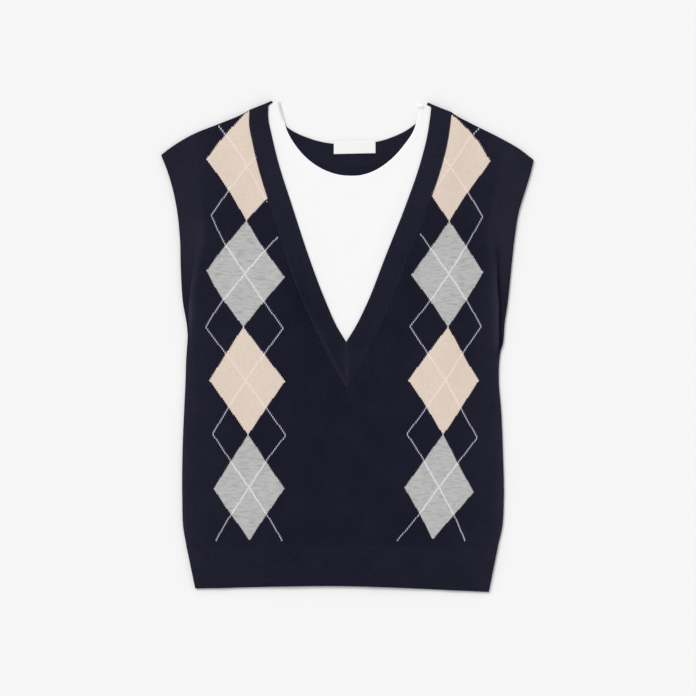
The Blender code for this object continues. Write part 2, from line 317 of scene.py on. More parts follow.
def smooth_step(t):
    t = np.clip(t, 0, 1)
    return t * t * (3 - 2 * t)


def smooth_curve(knots, values, at):
    """Values at `at` of the smooth curve through the values at their knots."""
    knots, values, at = (np.asarray(a, float) for a in (knots, values, at))
    slopes = np.gradient(values, knots, axis=0)
    i = np.clip(np.searchsorted(knots, at) - 1, 0, len(knots) - 2)
    span = knots[i + 1] - knots[i]
    t = (at - knots[i]) / span
    if values.ndim == 2:
        t, span = t[..., None], span[..., None]
    start = (2 * t**3 - 3 * t**2 + 1) * values[i] + (t**3 - 2 * t**2 + t) * span * slopes[i]
    end = (3 * t**2 - 2 * t**3) * values[i + 1] + (t**3 - t**2) * span * slopes[i + 1]
    return start + end


def column(rows, name, levels):
    """One column of a table of sections, read smoothly at the levels."""
    known = [row.level for row in rows]
    levels = np.clip(levels, known[0], known[-1])
    return smooth_curve(known, [getattr(row, name) for row in rows], levels)


def every_column(rows, levels):
    return [column(rows, name, levels) for name in rows[0]._fields[1:]]


def along(points, fraction):
    """Points at fractions of the way along the smooth curve through the points."""
    run = run_length(points)
    return smooth_curve(run / run[-1], points, fraction)


def straight(start, end, fraction):
    fraction = np.asarray(fraction, float)[..., None]
    return np.asarray(start, float) * (1 - fraction) + np.asarray(end, float) * fraction


def run_length(points):
    """Distance walked along the points, from the first to each."""
    steps = np.linalg.norm(np.diff(np.asarray(points, float), axis=0), axis=1)
    return np.concatenate([[0], np.cumsum(steps)])


def band_places(edge, start_reach, end_reach, side, fade, fraction, across):
    """Places on a neck band: `across` runs from its free edge, 0, to its seam, 1.

    The reaches are where the band's two ends meet the seam; past the fades it has its full width.
    `side` is +1 where the seam lies to the left of the edge's direction, and -1 where to the right.
    """
    fraction, across = np.broadcast_arrays(np.asarray(fraction, float), np.asarray(across, float))
    ahead, behind = (along(edge, np.clip(fraction + step, 0, 1)) for step in (0.01, -0.01))
    run = ahead - behind
    run /= np.linalg.norm(run, axis=-1, keepdims=True)
    square = side * NECK_BAND_WIDTH * np.stack([-run[..., 1], run[..., 0]], axis=-1)
    length = run_length(edge)[-1]
    fades = [MITRE_FADE if end[1] < 0 else fade for end in (start_reach, end_reach)]
    from_start = np.minimum(fraction * length / fades[0], 1)[..., None]
    from_end = np.minimum((1 - fraction) * length / fades[1], 1)[..., None]
    start_width = np.subtract(start_reach, edge[0])
    end_width = np.subtract(end_reach, edge[-1])
    width = start_width * (1 - from_start) + end_width * (1 - from_end)
    width = width + square * (from_start + from_end - 1)
    return along(edge, fraction) + across[..., None] * width


def patch(bottom, top, left, right, across=None, up=None):
    """Grid filled between four edges; `across` and `up` say where its columns and rows stand."""
    bottom, top, left, right = (np.asarray(edge, float) for edge in (bottom, top, left, right))
    u = (np.linspace(0, 1, len(bottom)) if across is None else across)[None, :, None]
    v = (np.linspace(0, 1, len(left)) if up is None else up)[:, None, None]
    between_sides = (1 - u) * left[:, None] + u * right[:, None]
    between_ends = (1 - v) * bottom[None] + v * top[None]
    corners = (1 - v) * ((1 - u) * bottom[0] + u * bottom[-1]) + v * ((1 - u) * top[0] + u * top[-1])
    return between_sides + between_ends - corners


RIM_STEPS = np.array([0, 0.2, 0.55, 1.1])  # where the rows of points stand on a rounded cut edge
RIM_END = RIM_STEPS[-1] * 1.6  # where the even steps begin


def steps_across(length, step, rims=(True, True)):
    """Fractions across a length: even steps, with closer ones where the cut edge is rounded."""
    rim, end = RIM_STEPS / length, RIM_END / length
    inner = np.linspace(0, 1, max(int(round(length / step)), 2) + 1)
    inner = inner[(inner >= end * rims[0]) & (inner <= 1 - end * rims[1])]
    return np.concatenate([rim if rims[0] else [], inner, 1 - rim[::-1] if rims[1] else []])


def side_at(side, levels):
    """How far out the side of the body stands at the levels."""
    return column(SIDES + table(SECTION, (TIP[side][1], TIP["left"][0], TIP["right"][0])), side, levels)


def side_places(side, levels):
    return np.stack([side_at(side, levels), levels], axis=-1)


def shoulder_to(side, corner):
    """Shoulder seam from its tip to a panel's corner at the neck band."""
    return SHOULDER[side][:OUTSIDE_BAND] + (tuple(corner),)


def joined(grids):
    """Points and faces of the grids, all facing up, joined where they share an edge.

    A point is its place on the table, x and y, and then whatever numbers its piece adds.
    """
    faces, start = [], 0
    for grid in grids:
        rows, columns = grid.shape[:2]
        index = start + np.arange(rows * columns).reshape(rows, columns)
        start += rows * columns
        ring = [index[:-1, :-1], index[:-1, 1:], index[1:, 1:], index[1:, :-1]]
        place = grid[..., :2]
        first, second = place[1:, 1:] - place[:-1, :-1], place[1:, :-1] - place[:-1, 1:]
        turned = (first[..., 0] * second[..., 1] - first[..., 1] * second[..., 0]).sum() < 0
        faces.append(np.stack(ring[::-1] if turned else ring, axis=-1).reshape(-1, 4))
    points = np.concatenate([grid.reshape(-1, grid.shape[2]) for grid in grids])
    _, first, same = np.unique(
        np.round(points[:, :2], 3), axis=0, return_index=True, return_inverse=True
    )
    return points[first], same.reshape(-1)[np.concatenate(faces)]


def distance_to(points, marks):
    """How far each point lies from the nearest of the marks."""
    tree = kdtree.KDTree(len(marks))
    for i, place in enumerate(marks):
        tree.insert((place[0], place[1], 0), i)
    tree.balance()
    return np.array([tree.find((place[0], place[1], 0))[2] for place in points])


EDGE_ROUND = 1.1  # how far in from a free edge the knit rounds off
EDGE_START = 0.03  # the share of that where the rounding starts, so that the edge keeps some wall
SEAM_REACH = 0.9  # an edge this near to a seam's line is one of the two sewn there
NO_SEAM = np.array([(1000.0, 1000.0)])


def distance_from_rim(points, faces, seam):
    """How far each point of a sheet lies from its edge, apart from the edges sewn along the seam."""
    sides = np.concatenate([faces[:, [i, (i + 1) % 4]] for i in range(4)])
    _, index, count = np.unique(np.sort(sides, axis=1), axis=0, return_inverse=True, return_counts=True)
    rim = sides[count[index.reshape(-1)] == 1]
    starts, ends = points[rim[:, 0], :2], points[rim[:, 1], :2]
    edge = np.concatenate([starts + (ends - starts) * f for f in np.arange(0, 1, 0.2)])
    return distance_to(points, edge[distance_to(edge, seam) > SEAM_REACH])


def worked_out(value, points):
    """A value for all of the points, or what a function gives at them."""
    return value(points) if callable(value) else value


def raised_to(height, points):
    """Places on the table raised to a height, or to the heights that a function gives."""
    return np.column_stack([points[:, :2], np.zeros(len(points)) + worked_out(height, points)])


def new_piece(name, places, faces, marks):
    """An object of points, in millimetres, and faces. A mark is a number, or a pair, on each point."""
    mesh = bpy.data.meshes.new(name)
    mesh.from_pydata((places - [*CENTRE, 0]) * MM, [], faces)
    for mark, values in marks.items():
        values = np.asarray(values, np.float32)
        if values.ndim == 2:
            corners = np.empty(len(mesh.loops), np.int32)
            mesh.loops.foreach_get("vertex_index", corners)
            mesh.uv_layers.new(name=mark).uv.foreach_set("vector", values[corners].ravel())
        else:
            values = np.ascontiguousarray(np.broadcast_to(values, len(places)))
            mesh.attributes.new(mark, "FLOAT", "POINT").data.foreach_set("value", values)
    piece = bpy.data.objects.new(name, mesh)
    bpy.context.scene.collection.objects.link(piece)
    return piece


def lay_cloth(name, grids, underside, wall, finish, marks, seam=NO_SEAM):
    """A sheet of cloth lying with its underside at the given heights, thinning to its free edges.

    `marks` are the numbers that its finish reads, which may be worked out from the points.
    """
    points, faces = joined(grids)
    rim = distance_from_rim(points, faces, seam)
    marks = {"rim": rim, **{mark: worked_out(value, points) for mark, value in marks.items()}}
    piece = new_piece(name, raised_to(underside, points) + [0, 0, wall / 2], faces.tolist(), marks)
    piece.data.materials.append(finish)
    body = piece.vertex_groups.new(name="body")
    fullness = np.sqrt(1 - (1 - np.clip(rim / EDGE_ROUND, EDGE_START, 1)) ** 2)
    for i, share in enumerate(fullness.tolist()):
        body.add([i], share, "REPLACE")
    return piece


def keep_shape(piece):
    """Turns the piece and its modifiers into one plain mesh."""
    bpy.context.view_layer.update()
    graph = bpy.context.evaluated_depsgraph_get()
    shaped = bpy.data.meshes.new_from_object(piece.evaluated_get(graph))
    piece.modifiers.clear()
    piece.data = shaped
    shaped.shade_smooth()


def rides_on_garment(piece, slot, *nodes):
    """Declares a finished piece: it stays with the garment and stands for the CAD nodes."""
    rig.ride(piece, "root")
    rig.slot(piece, slot)
    if nodes:
        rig.replaces(piece, *nodes)
    return piece


def give_wall(piece, wall, slot, node):
    thick = piece.modifiers.new("wall", "SOLIDIFY")
    thick.thickness = wall * MM
    thick.offset = 0
    thick.vertex_group = "body"
    keep_shape(piece)
    return rides_on_garment(piece, slot, node)


def flat_cut(grids):
    """Width, length and area in metres of a piece that lies as it was cut."""
    points, faces = joined(grids)
    width, length = np.ptp(points[:, :2], axis=0) * MM
    corners = points[faces][..., :2]
    first, second = corners[:, 2] - corners[:, 0], corners[:, 3] - corners[:, 1]
    area = np.abs(first[:, 0] * second[:, 1] - first[:, 1] * second[:, 0]).sum() / 2
    return {"flat": (width, length), "area": area * MM * MM}


# Where the knitting runs. Wales are counted from the centre line and courses from the origin. Each
# column of diamonds stands on one wale and reaches as many wales to either side, where the cloth is
# drawn a little wider or closer: the place of its wale, and how far out and in its corners stand.
DIAMOND_AXIS = 75.5
DIAMOND_WALES = 28.5
COURSE = 1.2
ROW = "level left_out left left_in right_in right right_out"
WALES_RUN = table(
    ROW,
    (-234, 40.4, -117.0, 39.4, 43, 102.6, 39),
    (-203, 43.2, -117.3, 41.7, 41.3, 107.5, 41.2),
    (-171, 42, -117.6, 42.4, 41, 110.0, 42),
    (-139, 42.2, -118.2, 41.8, 40.6, 112.6, 40.6),
    (-106, 42.4, -118.8, 45.4, 43.4, 115.2, 41.2),
    (-75, 43, -120.2, 46.4, 42.6, 116.9, 39),
    (-41, 43.6, -121.5, 47.2, 45, 118.6, 39.4),
    (-18, 44.2, -122.4, 46.6, 45.6, 119.6, 37.4),
    (23, 45.6, -124.2, 48, 46, 121.2, 40),
    (56, 49, -123.6, 48, 45.3, 122.7, 40.6),
    (89, 46.2, -122.4, 48, 45.2, 122.3, 41),
    (121, 47.6, -121.5, 47, 44.6, 122.6, 40.5),
    (152, 43, -120.6, 46, 44.6, 122.7, 40.2),
    (225, 49.7, -119.0, 46, 46, 124.5, 47.6),
    (248, 53.8, -118.4, 46, 46, 125.1, 49.4),
    (280, 58, -117.6, 46, 46, 126.0, 64),
)
# How much higher the courses lie at the same six wales than the level they were knitted at.
COURSES_RUN = table(
    ROW,
    (-234, 0, 1, 0, 0, 2.4, 0),
    (-171, -1.4, 0, -1, 0, 0.6, -5.5),
    (-106, 0, -1.2, -1.8, 0, -0.8, -4.4),
    (-41, 0, -0.8, -1, 0, -0.6, 0),
    (23, -1, -0.5, -2.4, 0, -0.5, 0),
    (89, 2.3, -1, -6, -3, -1, 0.5),
    (152, 4.8, -1.3, -14, -4, -2.2, 3),
    (225, 7.6, -0.6, -15, -3, -2.4, 6),
    (248, 8.9, 0.6, -11.2, -3, -2.8, 12.4),
    (280, 9, 2.2, -6, -3, -3.4, 6),
)


def knitting(points):
    """Wale and course at each place of the body panels."""
    x, y = points[:, 0], points[:, 1]
    out_l, left, in_l, in_r, right, out_r = every_column(WALES_RUN, y)
    stands = np.stack([left - out_l, left, left + in_l, right - in_r, right, right + out_r], axis=-1)
    rises = np.stack(every_column(COURSES_RUN, y), axis=-1)
    wales = DIAMOND_AXIS + DIAMOND_WALES * np.array([-1, 0, 1])
    wales = np.concatenate([-wales[::-1], wales])
    at, span = np.arange(len(x)), (x[:, None] > stands[:, 1:-1]).sum(axis=1)
    t = (x - stands[at, span]) / (stands[at, span + 1] - stands[at, span])
    wale = wales[span] * (1 - t) + wales[span + 1] * t
    rise = rises[at, span] * (1 - t) + rises[at, span + 1] * t
    return np.column_stack([wale, (y - rise) / COURSE])


# Painted sheen on the navy, most at the sides and shoulders: 0 is the plain colour, 3 the palest, and below 0 is
# painted shade.
EDGE_SHEEN, EDGE_SHEEN_FADE = 0.75, 5.0
SIDE_SHEEN, SIDE_SHEEN_FADE = 0.62, 42.0
SHOULDER_SHEEN_LEVEL, SHOULDER_SHEEN_RISE = 150.0, 80.0
SHOULDER_SHEEN_WIDTH, SHOULDER_SHEEN_FADE = 30.0, 60.0
NECK_SHEEN, NECK_SHEEN_FADE = 0.25, 20.0


# Painted sheen: paler right at the side edges, over a wider band in from the sides, and across the shoulders.
def side_painted_sheen(points):
    left, right = (side_at(side, points[:, 1]) for side in ("left", "right"))
    inside = np.maximum(np.minimum(points[:, 0] - left, right - points[:, 0]), 0)
    shoulder = smooth_step((points[:, 1] - SHOULDER_SHEEN_LEVEL) / SHOULDER_SHEEN_RISE)
    shoulder = shoulder * (1 - smooth_step((inside - SHOULDER_SHEEN_WIDTH) / SHOULDER_SHEEN_FADE))
    sides = EDGE_SHEEN * np.exp(-inside / EDGE_SHEEN_FADE) + SIDE_SHEEN * np.exp(-inside / SIDE_SHEEN_FADE)
    return np.maximum(sides, SIDE_SHEEN * shoulder)


class Value:
    """A value in a node tree, worked out with the signs that numbers use."""

    def __init__(self, tree, socket):
        self.tree, self.socket = tree, socket

    def math(self, operation, *others):
        inputs = dict(enumerate((self, *others)))
        node = add_node(self.tree, "ShaderNodeMath", inputs, operation=operation)
        return Value(self.tree, node.outputs[0])

    __add__ = partialmethod(math, "ADD")
    __sub__ = partialmethod(math, "SUBTRACT")
    __mul__ = partialmethod(math, "MULTIPLY")
    __truediv__ = partialmethod(math, "DIVIDE")
    __abs__ = partialmethod(math, "ABSOLUTE")

    def clipped(self):
        return self.math("MAXIMUM", 0.0).math("MINIMUM", 1.0)

    def between(self, low, high):
        """The value's 0 to 1 as low to high."""
        return self * (high - low) + low


def place_in_knit(tree):
    """Wale and course of the place being shaded, from the piece's knit map."""
    knit_map = add_node(tree, "ShaderNodeUVMap", uv_map="knit")
    split = add_node(tree, "ShaderNodeSeparateXYZ", {0: knit_map.outputs["UV"]})
    return Value(tree, split.outputs["X"]), Value(tree, split.outputs["Y"])


def vector_of(tree, *parts):
    return add_node(tree, "ShaderNodeCombineXYZ", dict(enumerate(parts))).outputs[0]


def noise(tree, scale, detail=2.0, over=None):
    """Soft random value, 0 to 1, over the piece or over a vector: more scale is a finer grain."""
    over = over or add_node(tree, "ShaderNodeTexCoord").outputs["Object"]
    node = add_node(tree, "ShaderNodeTexNoise", {"Vector": over, "Scale": scale, "Detail": detail})
    return Value(tree, node.outputs["Fac"])


def mark_of(tree, name):
    return Value(tree, add_node(tree, "ShaderNodeAttribute", attribute_name=name).outputs["Fac"])


def blend_of(tree, share, first, second):
    """Colour that goes from the first to the second with the share."""
    colours = {"A": first, "B": second}
    colours = {side: (*c, 1) if isinstance(c, tuple) else c for side, c in colours.items()}
    return add_node(
        tree, "ShaderNodeMix", {"Factor": share, **colours}, data_type="RGBA"
    ).outputs["Result"]


def shaded(tree, colour, share):
    """A colour made darker or lighter by a value."""
    inputs = {0: colour, "Scale": share}
    return add_node(tree, "ShaderNodeVectorMath", inputs, operation="SCALE").outputs[0]


def dress(finish, colour, relief, depth):
    """Gives a finish its worked-out colour, and its relief of so many millimetres."""
    tree = finish.node_tree
    shader = tree.nodes["Principled BSDF"]
    bump = add_node(tree, "ShaderNodeBump", {"Strength": 1.0, "Distance": depth * MM, "Height": relief})
    tree.links.new(colour, shader.inputs["Base Color"])
    tree.links.new(bump.outputs["Normal"], shader.inputs["Normal"])
    return finish


STITCH_CLIMB = 0.85
STITCH_DEPTH = 0.28
NAVY_PAINTED_SHADE = (0.0038, 0.0041, 0.0139)  # painted shade: the navy at its darkest, where the light doesn't catch it
# painted sheen: the navy at its palest
NAVY_PAINTED_SHEEN = (0.0404, 0.0371, 0.0597)
NAVY_FUZZ = (0.30, 0.31, 0.42)
PAINTED_SHADE_END, PAINTED_SHEEN_END = -0.8, 3.0
PATCH_PAINTED_LIGHT = 0.7  # how much the painted light differs at random from patch to patch


def plain_stitches(wale, course):
    """Relief of plain knitting, 0 to 1, with the wale and course in the middle of each stitch.

    A stitch is two legs that climb outwards from the middle of its wale.
    """
    out = abs(wale.math("FRACT") - 0.5) * 2.0
    lifted = course - out * STITCH_CLIMB
    row = lifted.math("FRACT").between(-1.0, 1.0)
    leg = out.between(-1.0, 1.0)
    round_leg = (leg * leg).between(1.0, 0.0).math("MAXIMUM", 0.0).math("SQRT")
    round_row = (row * row).between(1.0, 0.55)
    middle = wale.math("FLOOR") + 0.5
    row_middle = lifted.math("FLOOR") + (0.5 + STITCH_CLIMB / 2)
    return round_leg * round_row, middle, row_middle


def stitch_shade_and_tone(tree, relief, middle, row_middle):
    """How light the yarn is: painted shade between the stitches, and a tone a little different in each stitch and
    across the piece.
    """
    stitch = vector_of(tree, middle, row_middle)
    each = Value(tree, add_node(tree, "ShaderNodeTexWhiteNoise", {"Vector": stitch}).outputs["Value"])
    drift = noise(tree, 18.0)
    return relief.between(0.80, 1.06) * each.between(0.87, 1.13) * drift.between(0.91, 1.09)


def wool_finish(name):
    return new_finish(
        name, NAVY_PAINTED_SHADE, roughness=0.88, specular=0.05, sheen_weight=0.03, sheen_roughness=0.55,
        sheen_tint=(*NAVY_FUZZ, 1),
    )


def navy_with_painted_light(tree, light):
    """Navy yarn with painted light: paler where the sheet's mark paints sheen and darker where it paints shade, with
    random patches of a little more and less.
    """
    nap = mark_of(tree, "nap") + (noise(tree, 34.0, detail=5.0) - 0.5) * PATCH_PAINTED_LIGHT
    sheen_share = ((nap - PAINTED_SHADE_END) / (PAINTED_SHEEN_END - PAINTED_SHADE_END)).clipped()
    return shaded(tree, blend_of(tree, sheen_share, NAVY_PAINTED_SHADE, NAVY_PAINTED_SHEEN), light)


def navy_finish(name):
    finish = wool_finish(name)
    tree = finish.node_tree
    relief, middle, row_middle = plain_stitches(*place_in_knit(tree))
    light = stitch_shade_and_tone(tree, relief, middle, row_middle)
    return dress(finish, navy_with_painted_light(tree, light), relief, STITCH_DEPTH)


navy_knit = navy_finish("navy_knit")
back_band = partial(
    band_places, BACK_NECK_EDGE, SEAM_TOP["left"], SEAM_TOP["right"], -1, SHOULDER_FADE
)
past_seam = 1 + SEAM_GAP / NECK_BAND_WIDTH
on_seam = 1 + SEAM_GAP / NECK_BAND_WIDTH / 2
neck_line = back_band(np.linspace(0, 1, 97), past_seam)
shoulder_steps = steps_across(SHOULDER_LENGTH, BACK_STEP, (True, False))
back_top = np.concatenate([
    along(shoulder_to("left", neck_line[0]), shoulder_steps),
    neck_line[1:],
    along(shoulder_to("right", neck_line[-1]), shoulder_steps[::-1][1:]),
])
back_up = steps_across(BACK_LENGTH, BACK_STEP)
back_left, back_right = (
    side_places(side, HEM_SEAM_LEVEL + (TIP[side][1] - HEM_SEAM_LEVEL) * back_up) for side in TIP
)
back_bottom = straight(back_left[0], back_right[0], np.linspace(0, 1, len(back_top)))
back_grids = [patch(back_bottom, back_top, back_left, back_right, up=back_up)]
hem_seam = straight(
    (SIDES[0].left, HEM_SEAM_LEVEL - SEAM_GAP / 2), (SIDES[0].right, HEM_SEAM_LEVEL - SEAM_GAP / 2),
    np.linspace(0, 1, SEAM_MARKS),
)
back_neck_seam = back_band(np.linspace(0, 1, NECK_MARKS), on_seam)


def back_painted_sheen(points):
    """The painted sheen of the sides, and a little more below the neck band."""
    return side_painted_sheen(points) + NECK_SHEEN * np.exp(-distance_to(points, back_neck_seam) / NECK_SHEEN_FADE)


back_panel = lay_cloth(
    "back_knit", back_grids, 0.0, KNIT_WALL, navy_knit, {"knit": knitting, "nap": back_painted_sheen},
    np.concatenate([hem_seam, back_neck_seam]),
)
give_wall(back_panel, KNIT_WALL, "navy_knit", "back_panel")
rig.sheet(back_panel, held="laid", rests_on=["table_top"], **flat_cut(back_grids))


# ---- Hem bands ----
# Front and back each end in a band of fine one-by-one rib in the same wool, linked to the panel
# along its top and bound off at the hem. The two are open to each other at the bottom.

RIB_WALL = 2.4
RIB_PITCH = 2.4
RIB_DEPTH = 0.4
RIB_ROUNDNESS = 0.7
RIB_FADE = 2.2  # over what width the ribs sink away at a cut edge
HEM_FRONT_REST = RIB_WALL + SEAM_GAP
HEM_LENGTH, HEM_DEPTH, HEM_STEP_UP = 374.0, 50.0, 3.2
HEM_SHEEN, HEM_SIDE_SHEEN = 0.15, 0.7
HEM_CORNER = {"left": HEM_EDGE[0], "right": HEM_EDGE[-1]}
HEM_SEAM_END = {side: (getattr(SIDES[0], side), HEM_SEAM_LEVEL - SEAM_GAP) for side in OUTWARD}

FOLD = "start end half_width rise"
HEM_FOLDS = table(
    FOLD,
    ((-120, -292), (110, -292), 46, 1.2),
    ((-150, -300), (-138, -252), 17, 0.7),
    ((-66, -304), (-60, -258), 22, 0.5),
    ((38, -304), (30, -262), 15, 0.6),
    ((128, -306), (120, -250), 19, 0.8),
)
FOLD_FADE = 0.18
LINK_PITCH, LINK_WIDTH, LINK_YARN = 1.3, 2.0, 0.5
LINK_NAVY = (0.0130, 0.0122, 0.0240)
WRAP_PITCH, WRAP_BOW, WRAP_YARN = 1.2, 0.9, 1.25
WRAP_INSET = 0.75  # how far in from the outline the wrapped yarn's feet stand

# A stitch's leg in shares of its width, length and yarn, and an arch in shares of its bow and height.
STITCH_LEG = {"Start": (0.06, -0.6, -0.4), "Middle": (0.26, -0.2, 0.5), "End": (0.4, 0.62, -0.3)}
WRAP_ARCH = {"Start": (-0.6, 0), "Start Handle": (1, 0), "End Handle": (1, 1), "End": (-0.6, 1)}


def fold_rise(folds, points):
    """Height that the folds add: cosine ridges that fade in and out along their length."""
    total = np.zeros(len(points))
    for fold in folds:
        start, end = np.asarray(fold.start, float), np.asarray(fold.end, float)
        length = np.linalg.norm(end - start)
        run = (end - start) / length
        offset = points[:, :2] - start
        t = offset @ run / length
        off = np.abs(offset @ np.array([run[1], -run[0]])) / fold.half_width
        ends = smooth_step(t / FOLD_FADE) * smooth_step((1 - t) / FOLD_FADE)
        total += fold.rise * ends * np.cos(math.pi / 2 * np.minimum(off, 1)) ** 2
    return total


def new_tree(name, **inputs):
    """A Geometry Nodes tree with these inputs beside its geometry: the tree and its input values."""
    tree = bpy.data.node_groups.new(name, "GeometryNodeTree")
    tree.interface.new_socket("Geometry", in_out="OUTPUT", socket_type="NodeSocketGeometry")
    inputs = {"Geometry": "Geometry", **inputs, "finish": "Material"}
    for title, kind in inputs.items():
        tree.interface.new_socket(title, in_out="INPUT", socket_type="NodeSocket" + kind)
    given = tree.nodes.new("NodeGroupInput").outputs
    return tree, {title: Value(tree, given[title]) for title in inputs}


def end_tree(tree, geometry, finish):
    """Closes a tree: its instances are realized and given their finish."""
    real = add_node(tree, "GeometryNodeRealizeInstances", {0: geometry})
    finished = add_node(tree, "GeometryNodeSetMaterial", {"Geometry": real, "Material": finish})
    add_node(tree, "NodeGroupOutput", {0: finished})
    return tree


def run_tree(piece, tree, **inputs):
    """Puts the tree on the piece with its inputs set by their identifiers."""
    modifier = piece.modifiers.new(tree.name, "NODES")
    modifier.node_group = tree
    for socket in tree.interface.items_tree:
        if socket.name in inputs:
            modifier[socket.identifier] = inputs[socket.name]


def point_mark(tree, name):
    """The number that each point carries under the name."""
    node = add_node(tree, "GeometryNodeInputNamedAttribute", {"Name": name}, data_type="FLOAT")
    return Value(tree, node.outputs[0])


def round_yarn(tree, curve, thickness, sides):
    section = add_node(
        tree, "GeometryNodeCurvePrimitiveCircle", {"Resolution": sides, "Radius": thickness * 0.5}
    )
    return add_node(
        tree, "GeometryNodeCurveToMesh", {"Curve": curve, "Profile Curve": section, "Fill Caps": True}
    )


def set_on_points(tree, points, shape, scale):
    """The shape on every point, turned by the point's `turn` and scaled."""
    turn = vector_of(tree, 0.0, 0.0, point_mark(tree, "turn"))
    return add_node(tree, "GeometryNodeInstanceOnPoints", {
        "Points": points,
        "Instance": shape,
        "Rotation": add_node(tree, "FunctionNodeEulerToRotation", {"Euler": turn}),
        "Scale": vector_of(tree, *scale),
    })


def ribbing_tree():
    """Raises a ridge for each rib that a sheet's `run` crosses, sinking away at its cut edges."""
    tree, given = new_tree("ribbing", pitch="Float", depth="Float")
    ridge = abs((point_mark(tree, "run") / given["pitch"] * math.pi).math("SINE"))
    edge = (point_mark(tree, "rim") / RIB_FADE).clipped()
    up = vector_of(tree, 0.0, 0.0, ridge.math("POWER", RIB_ROUNDNESS) * edge * given["depth"])
    raised = add_node(tree, "GeometryNodeSetPosition", {"Geometry": given["Geometry"], "Offset": up})
    return end_tree(tree, raised, given["finish"])


def stitch_tree():
    """Sets one V-shaped stitch on every point, with the point's own `turn` and `stretch`."""
    tree, given = new_tree("stitches", width="Float", length="Float", thickness="Float")
    sizes = given["width"], given["length"], given["thickness"]
    legs = add_node(tree, "GeometryNodeJoinGeometry")
    for out in (-1, 1):
        places = {
            end: vector_of(tree, *(size * part for size, part in zip(sizes, (x * out, y, z))))
            for end, (x, y, z) in STITCH_LEG.items()
        }
        leg = add_node(tree, "GeometryNodeCurveQuadraticBezier", {"Resolution": 4, **places})
        tree.links.new(round_yarn(tree, leg, given["thickness"], 5).outputs[0], legs.inputs[0])
    placed = set_on_points(tree, given["Geometry"], legs, (point_mark(tree, "stretch"), 1.0, 1.0))
    return end_tree(tree, placed, given["finish"])


def wrapping_tree():
    """Sets one arch of yarn on every point: `tall` millimetres high, bowed out at its `turn`."""
    tree, given = new_tree("wrapping", bow="Float", thickness="Float")
    places = {
        end: vector_of(tree, given["bow"] * x, 0.0, z * MM) for end, (x, z) in WRAP_ARCH.items()
    }
    arch = add_node(tree, "GeometryNodeCurvePrimitiveBezierSegment", {"Resolution": 5, **places})
    placed = set_on_points(tree, given["Geometry"], arch, (1.0, 1.0, point_mark(tree, "tall")))
    real = add_node(tree, "GeometryNodeRealizeInstances", {0: placed})
    return end_tree(tree, round_yarn(tree, real, given["thickness"], 6), given["finish"])


def sew(name, places, marks, tree, finish, slot, **sizes):
    """A piece that a tree makes of yarn on the places. Its sizes are in millimetres."""
    piece = new_piece(name, places, [], marks)
    run_tree(piece, tree, finish=finish, **{part: size * MM for part, size in sizes.items()})
    keep_shape(piece)
    return rides_on_garment(piece, slot)


def paced(route, pitch):
    """Places set evenly along a route, about a pitch apart, and how far the route is turned there."""
    run = run_length(route)
    count = max(int(round(run[-1] / pitch)), 2)
    steps = (np.arange(count) + 0.5) * run[-1] / count
    places = np.column_stack([np.interp(steps, run, route[:, i]) for i in (0, 1)])
    ahead = np.gradient(places, axis=0)
    return places, np.arctan2(-ahead[:, 0], ahead[:, 1])


def linking(name, route, height):
    """The chain that links a seam, along its route, at a height or at heights worked out there."""
    places, turn = paced(route, LINK_PITCH)
    marks = {"turn": turn, "stretch": 1}
    return sew(
        name, raised_to(height, places), marks, stitches, linking_yarn, "navy_knit",
        width=LINK_WIDTH, length=LINK_PITCH, thickness=LINK_YARN,
    )


def edge_wrapping(name, route, wall, upper, yarn, slot):
    """The yarn that joins two edges lying one over the other, wrapped from the lower to the upper.

    The route runs with the garment on its left. The edges are of one wall: the lower lies on the
    table, and `upper` gives the height of the other.
    """
    places, turn = paced(route, WRAP_PITCH)
    marks = {"tall": worked_out(upper, places), "turn": turn}
    return sew(
        name, raised_to(wall / 2, places), marks, wrapping, yarn, slot,
        bow=WRAP_BOW, thickness=WRAP_YARN,
    )


def yarn_finish(name, colour):
    """Plied yarn, a little fuzzy: painted shade where its fine relief sinks."""
    finish = new_finish(name, colour, roughness=0.85, specular=0.2, sheen_weight=0.05)
    fibre = noise(finish.node_tree, 2600.0, detail=3.0)
    colour = shaded(finish.node_tree, colour, fibre.between(0.89, 1.11))
    return dress(finish, colour, fibre, depth=0.08)


def rib_run(points):
    return points[:, 2]


def rib_knitting(points):
    return points[:, 2:] / [RIB_PITCH, COURSE]


def rib_band(name, grids, underside, seam, nap, node):
    """A ribbed band: each grid point carries its run along the band and its course across it."""
    marks = {"run": rib_run, "knit": rib_knitting, "nap": nap}
    piece = lay_cloth(name, grids, underside, RIB_WALL - RIB_DEPTH, navy_rib, marks, seam)
    run_tree(piece, ribbing, pitch=RIB_PITCH, depth=RIB_DEPTH * MM, finish=navy_rib)
    return give_wall(piece, RIB_WALL - RIB_DEPTH, "navy_rib", node)


def hem_grid(step):
    """The hem band, finest along its run, with its run and its height from the seam."""
    across = steps_across(HEM_LENGTH, step)
    up = steps_across(HEM_DEPTH, HEM_STEP_UP)
    left, right = (straight(HEM_CORNER[side], HEM_SEAM_END[side], up) for side in OUTWARD)
    seam = straight(HEM_SEAM_END["left"], HEM_SEAM_END["right"], across)
    grid = patch(along(HEM_EDGE, across), seam, left, right, across, up)
    return np.dstack([grid, np.broadcast_to(across * HEM_LENGTH, grid.shape[:2]), grid[..., 1]])


def front_hem_underside(points):
    return HEM_FRONT_REST + fold_rise(HEM_FOLDS, points)


# Painted sheen on the hem bands: a little all over, more towards the sides.
def hem_painted_sheen(points):
    return HEM_SHEEN + HEM_SIDE_SHEEN * side_painted_sheen(points)


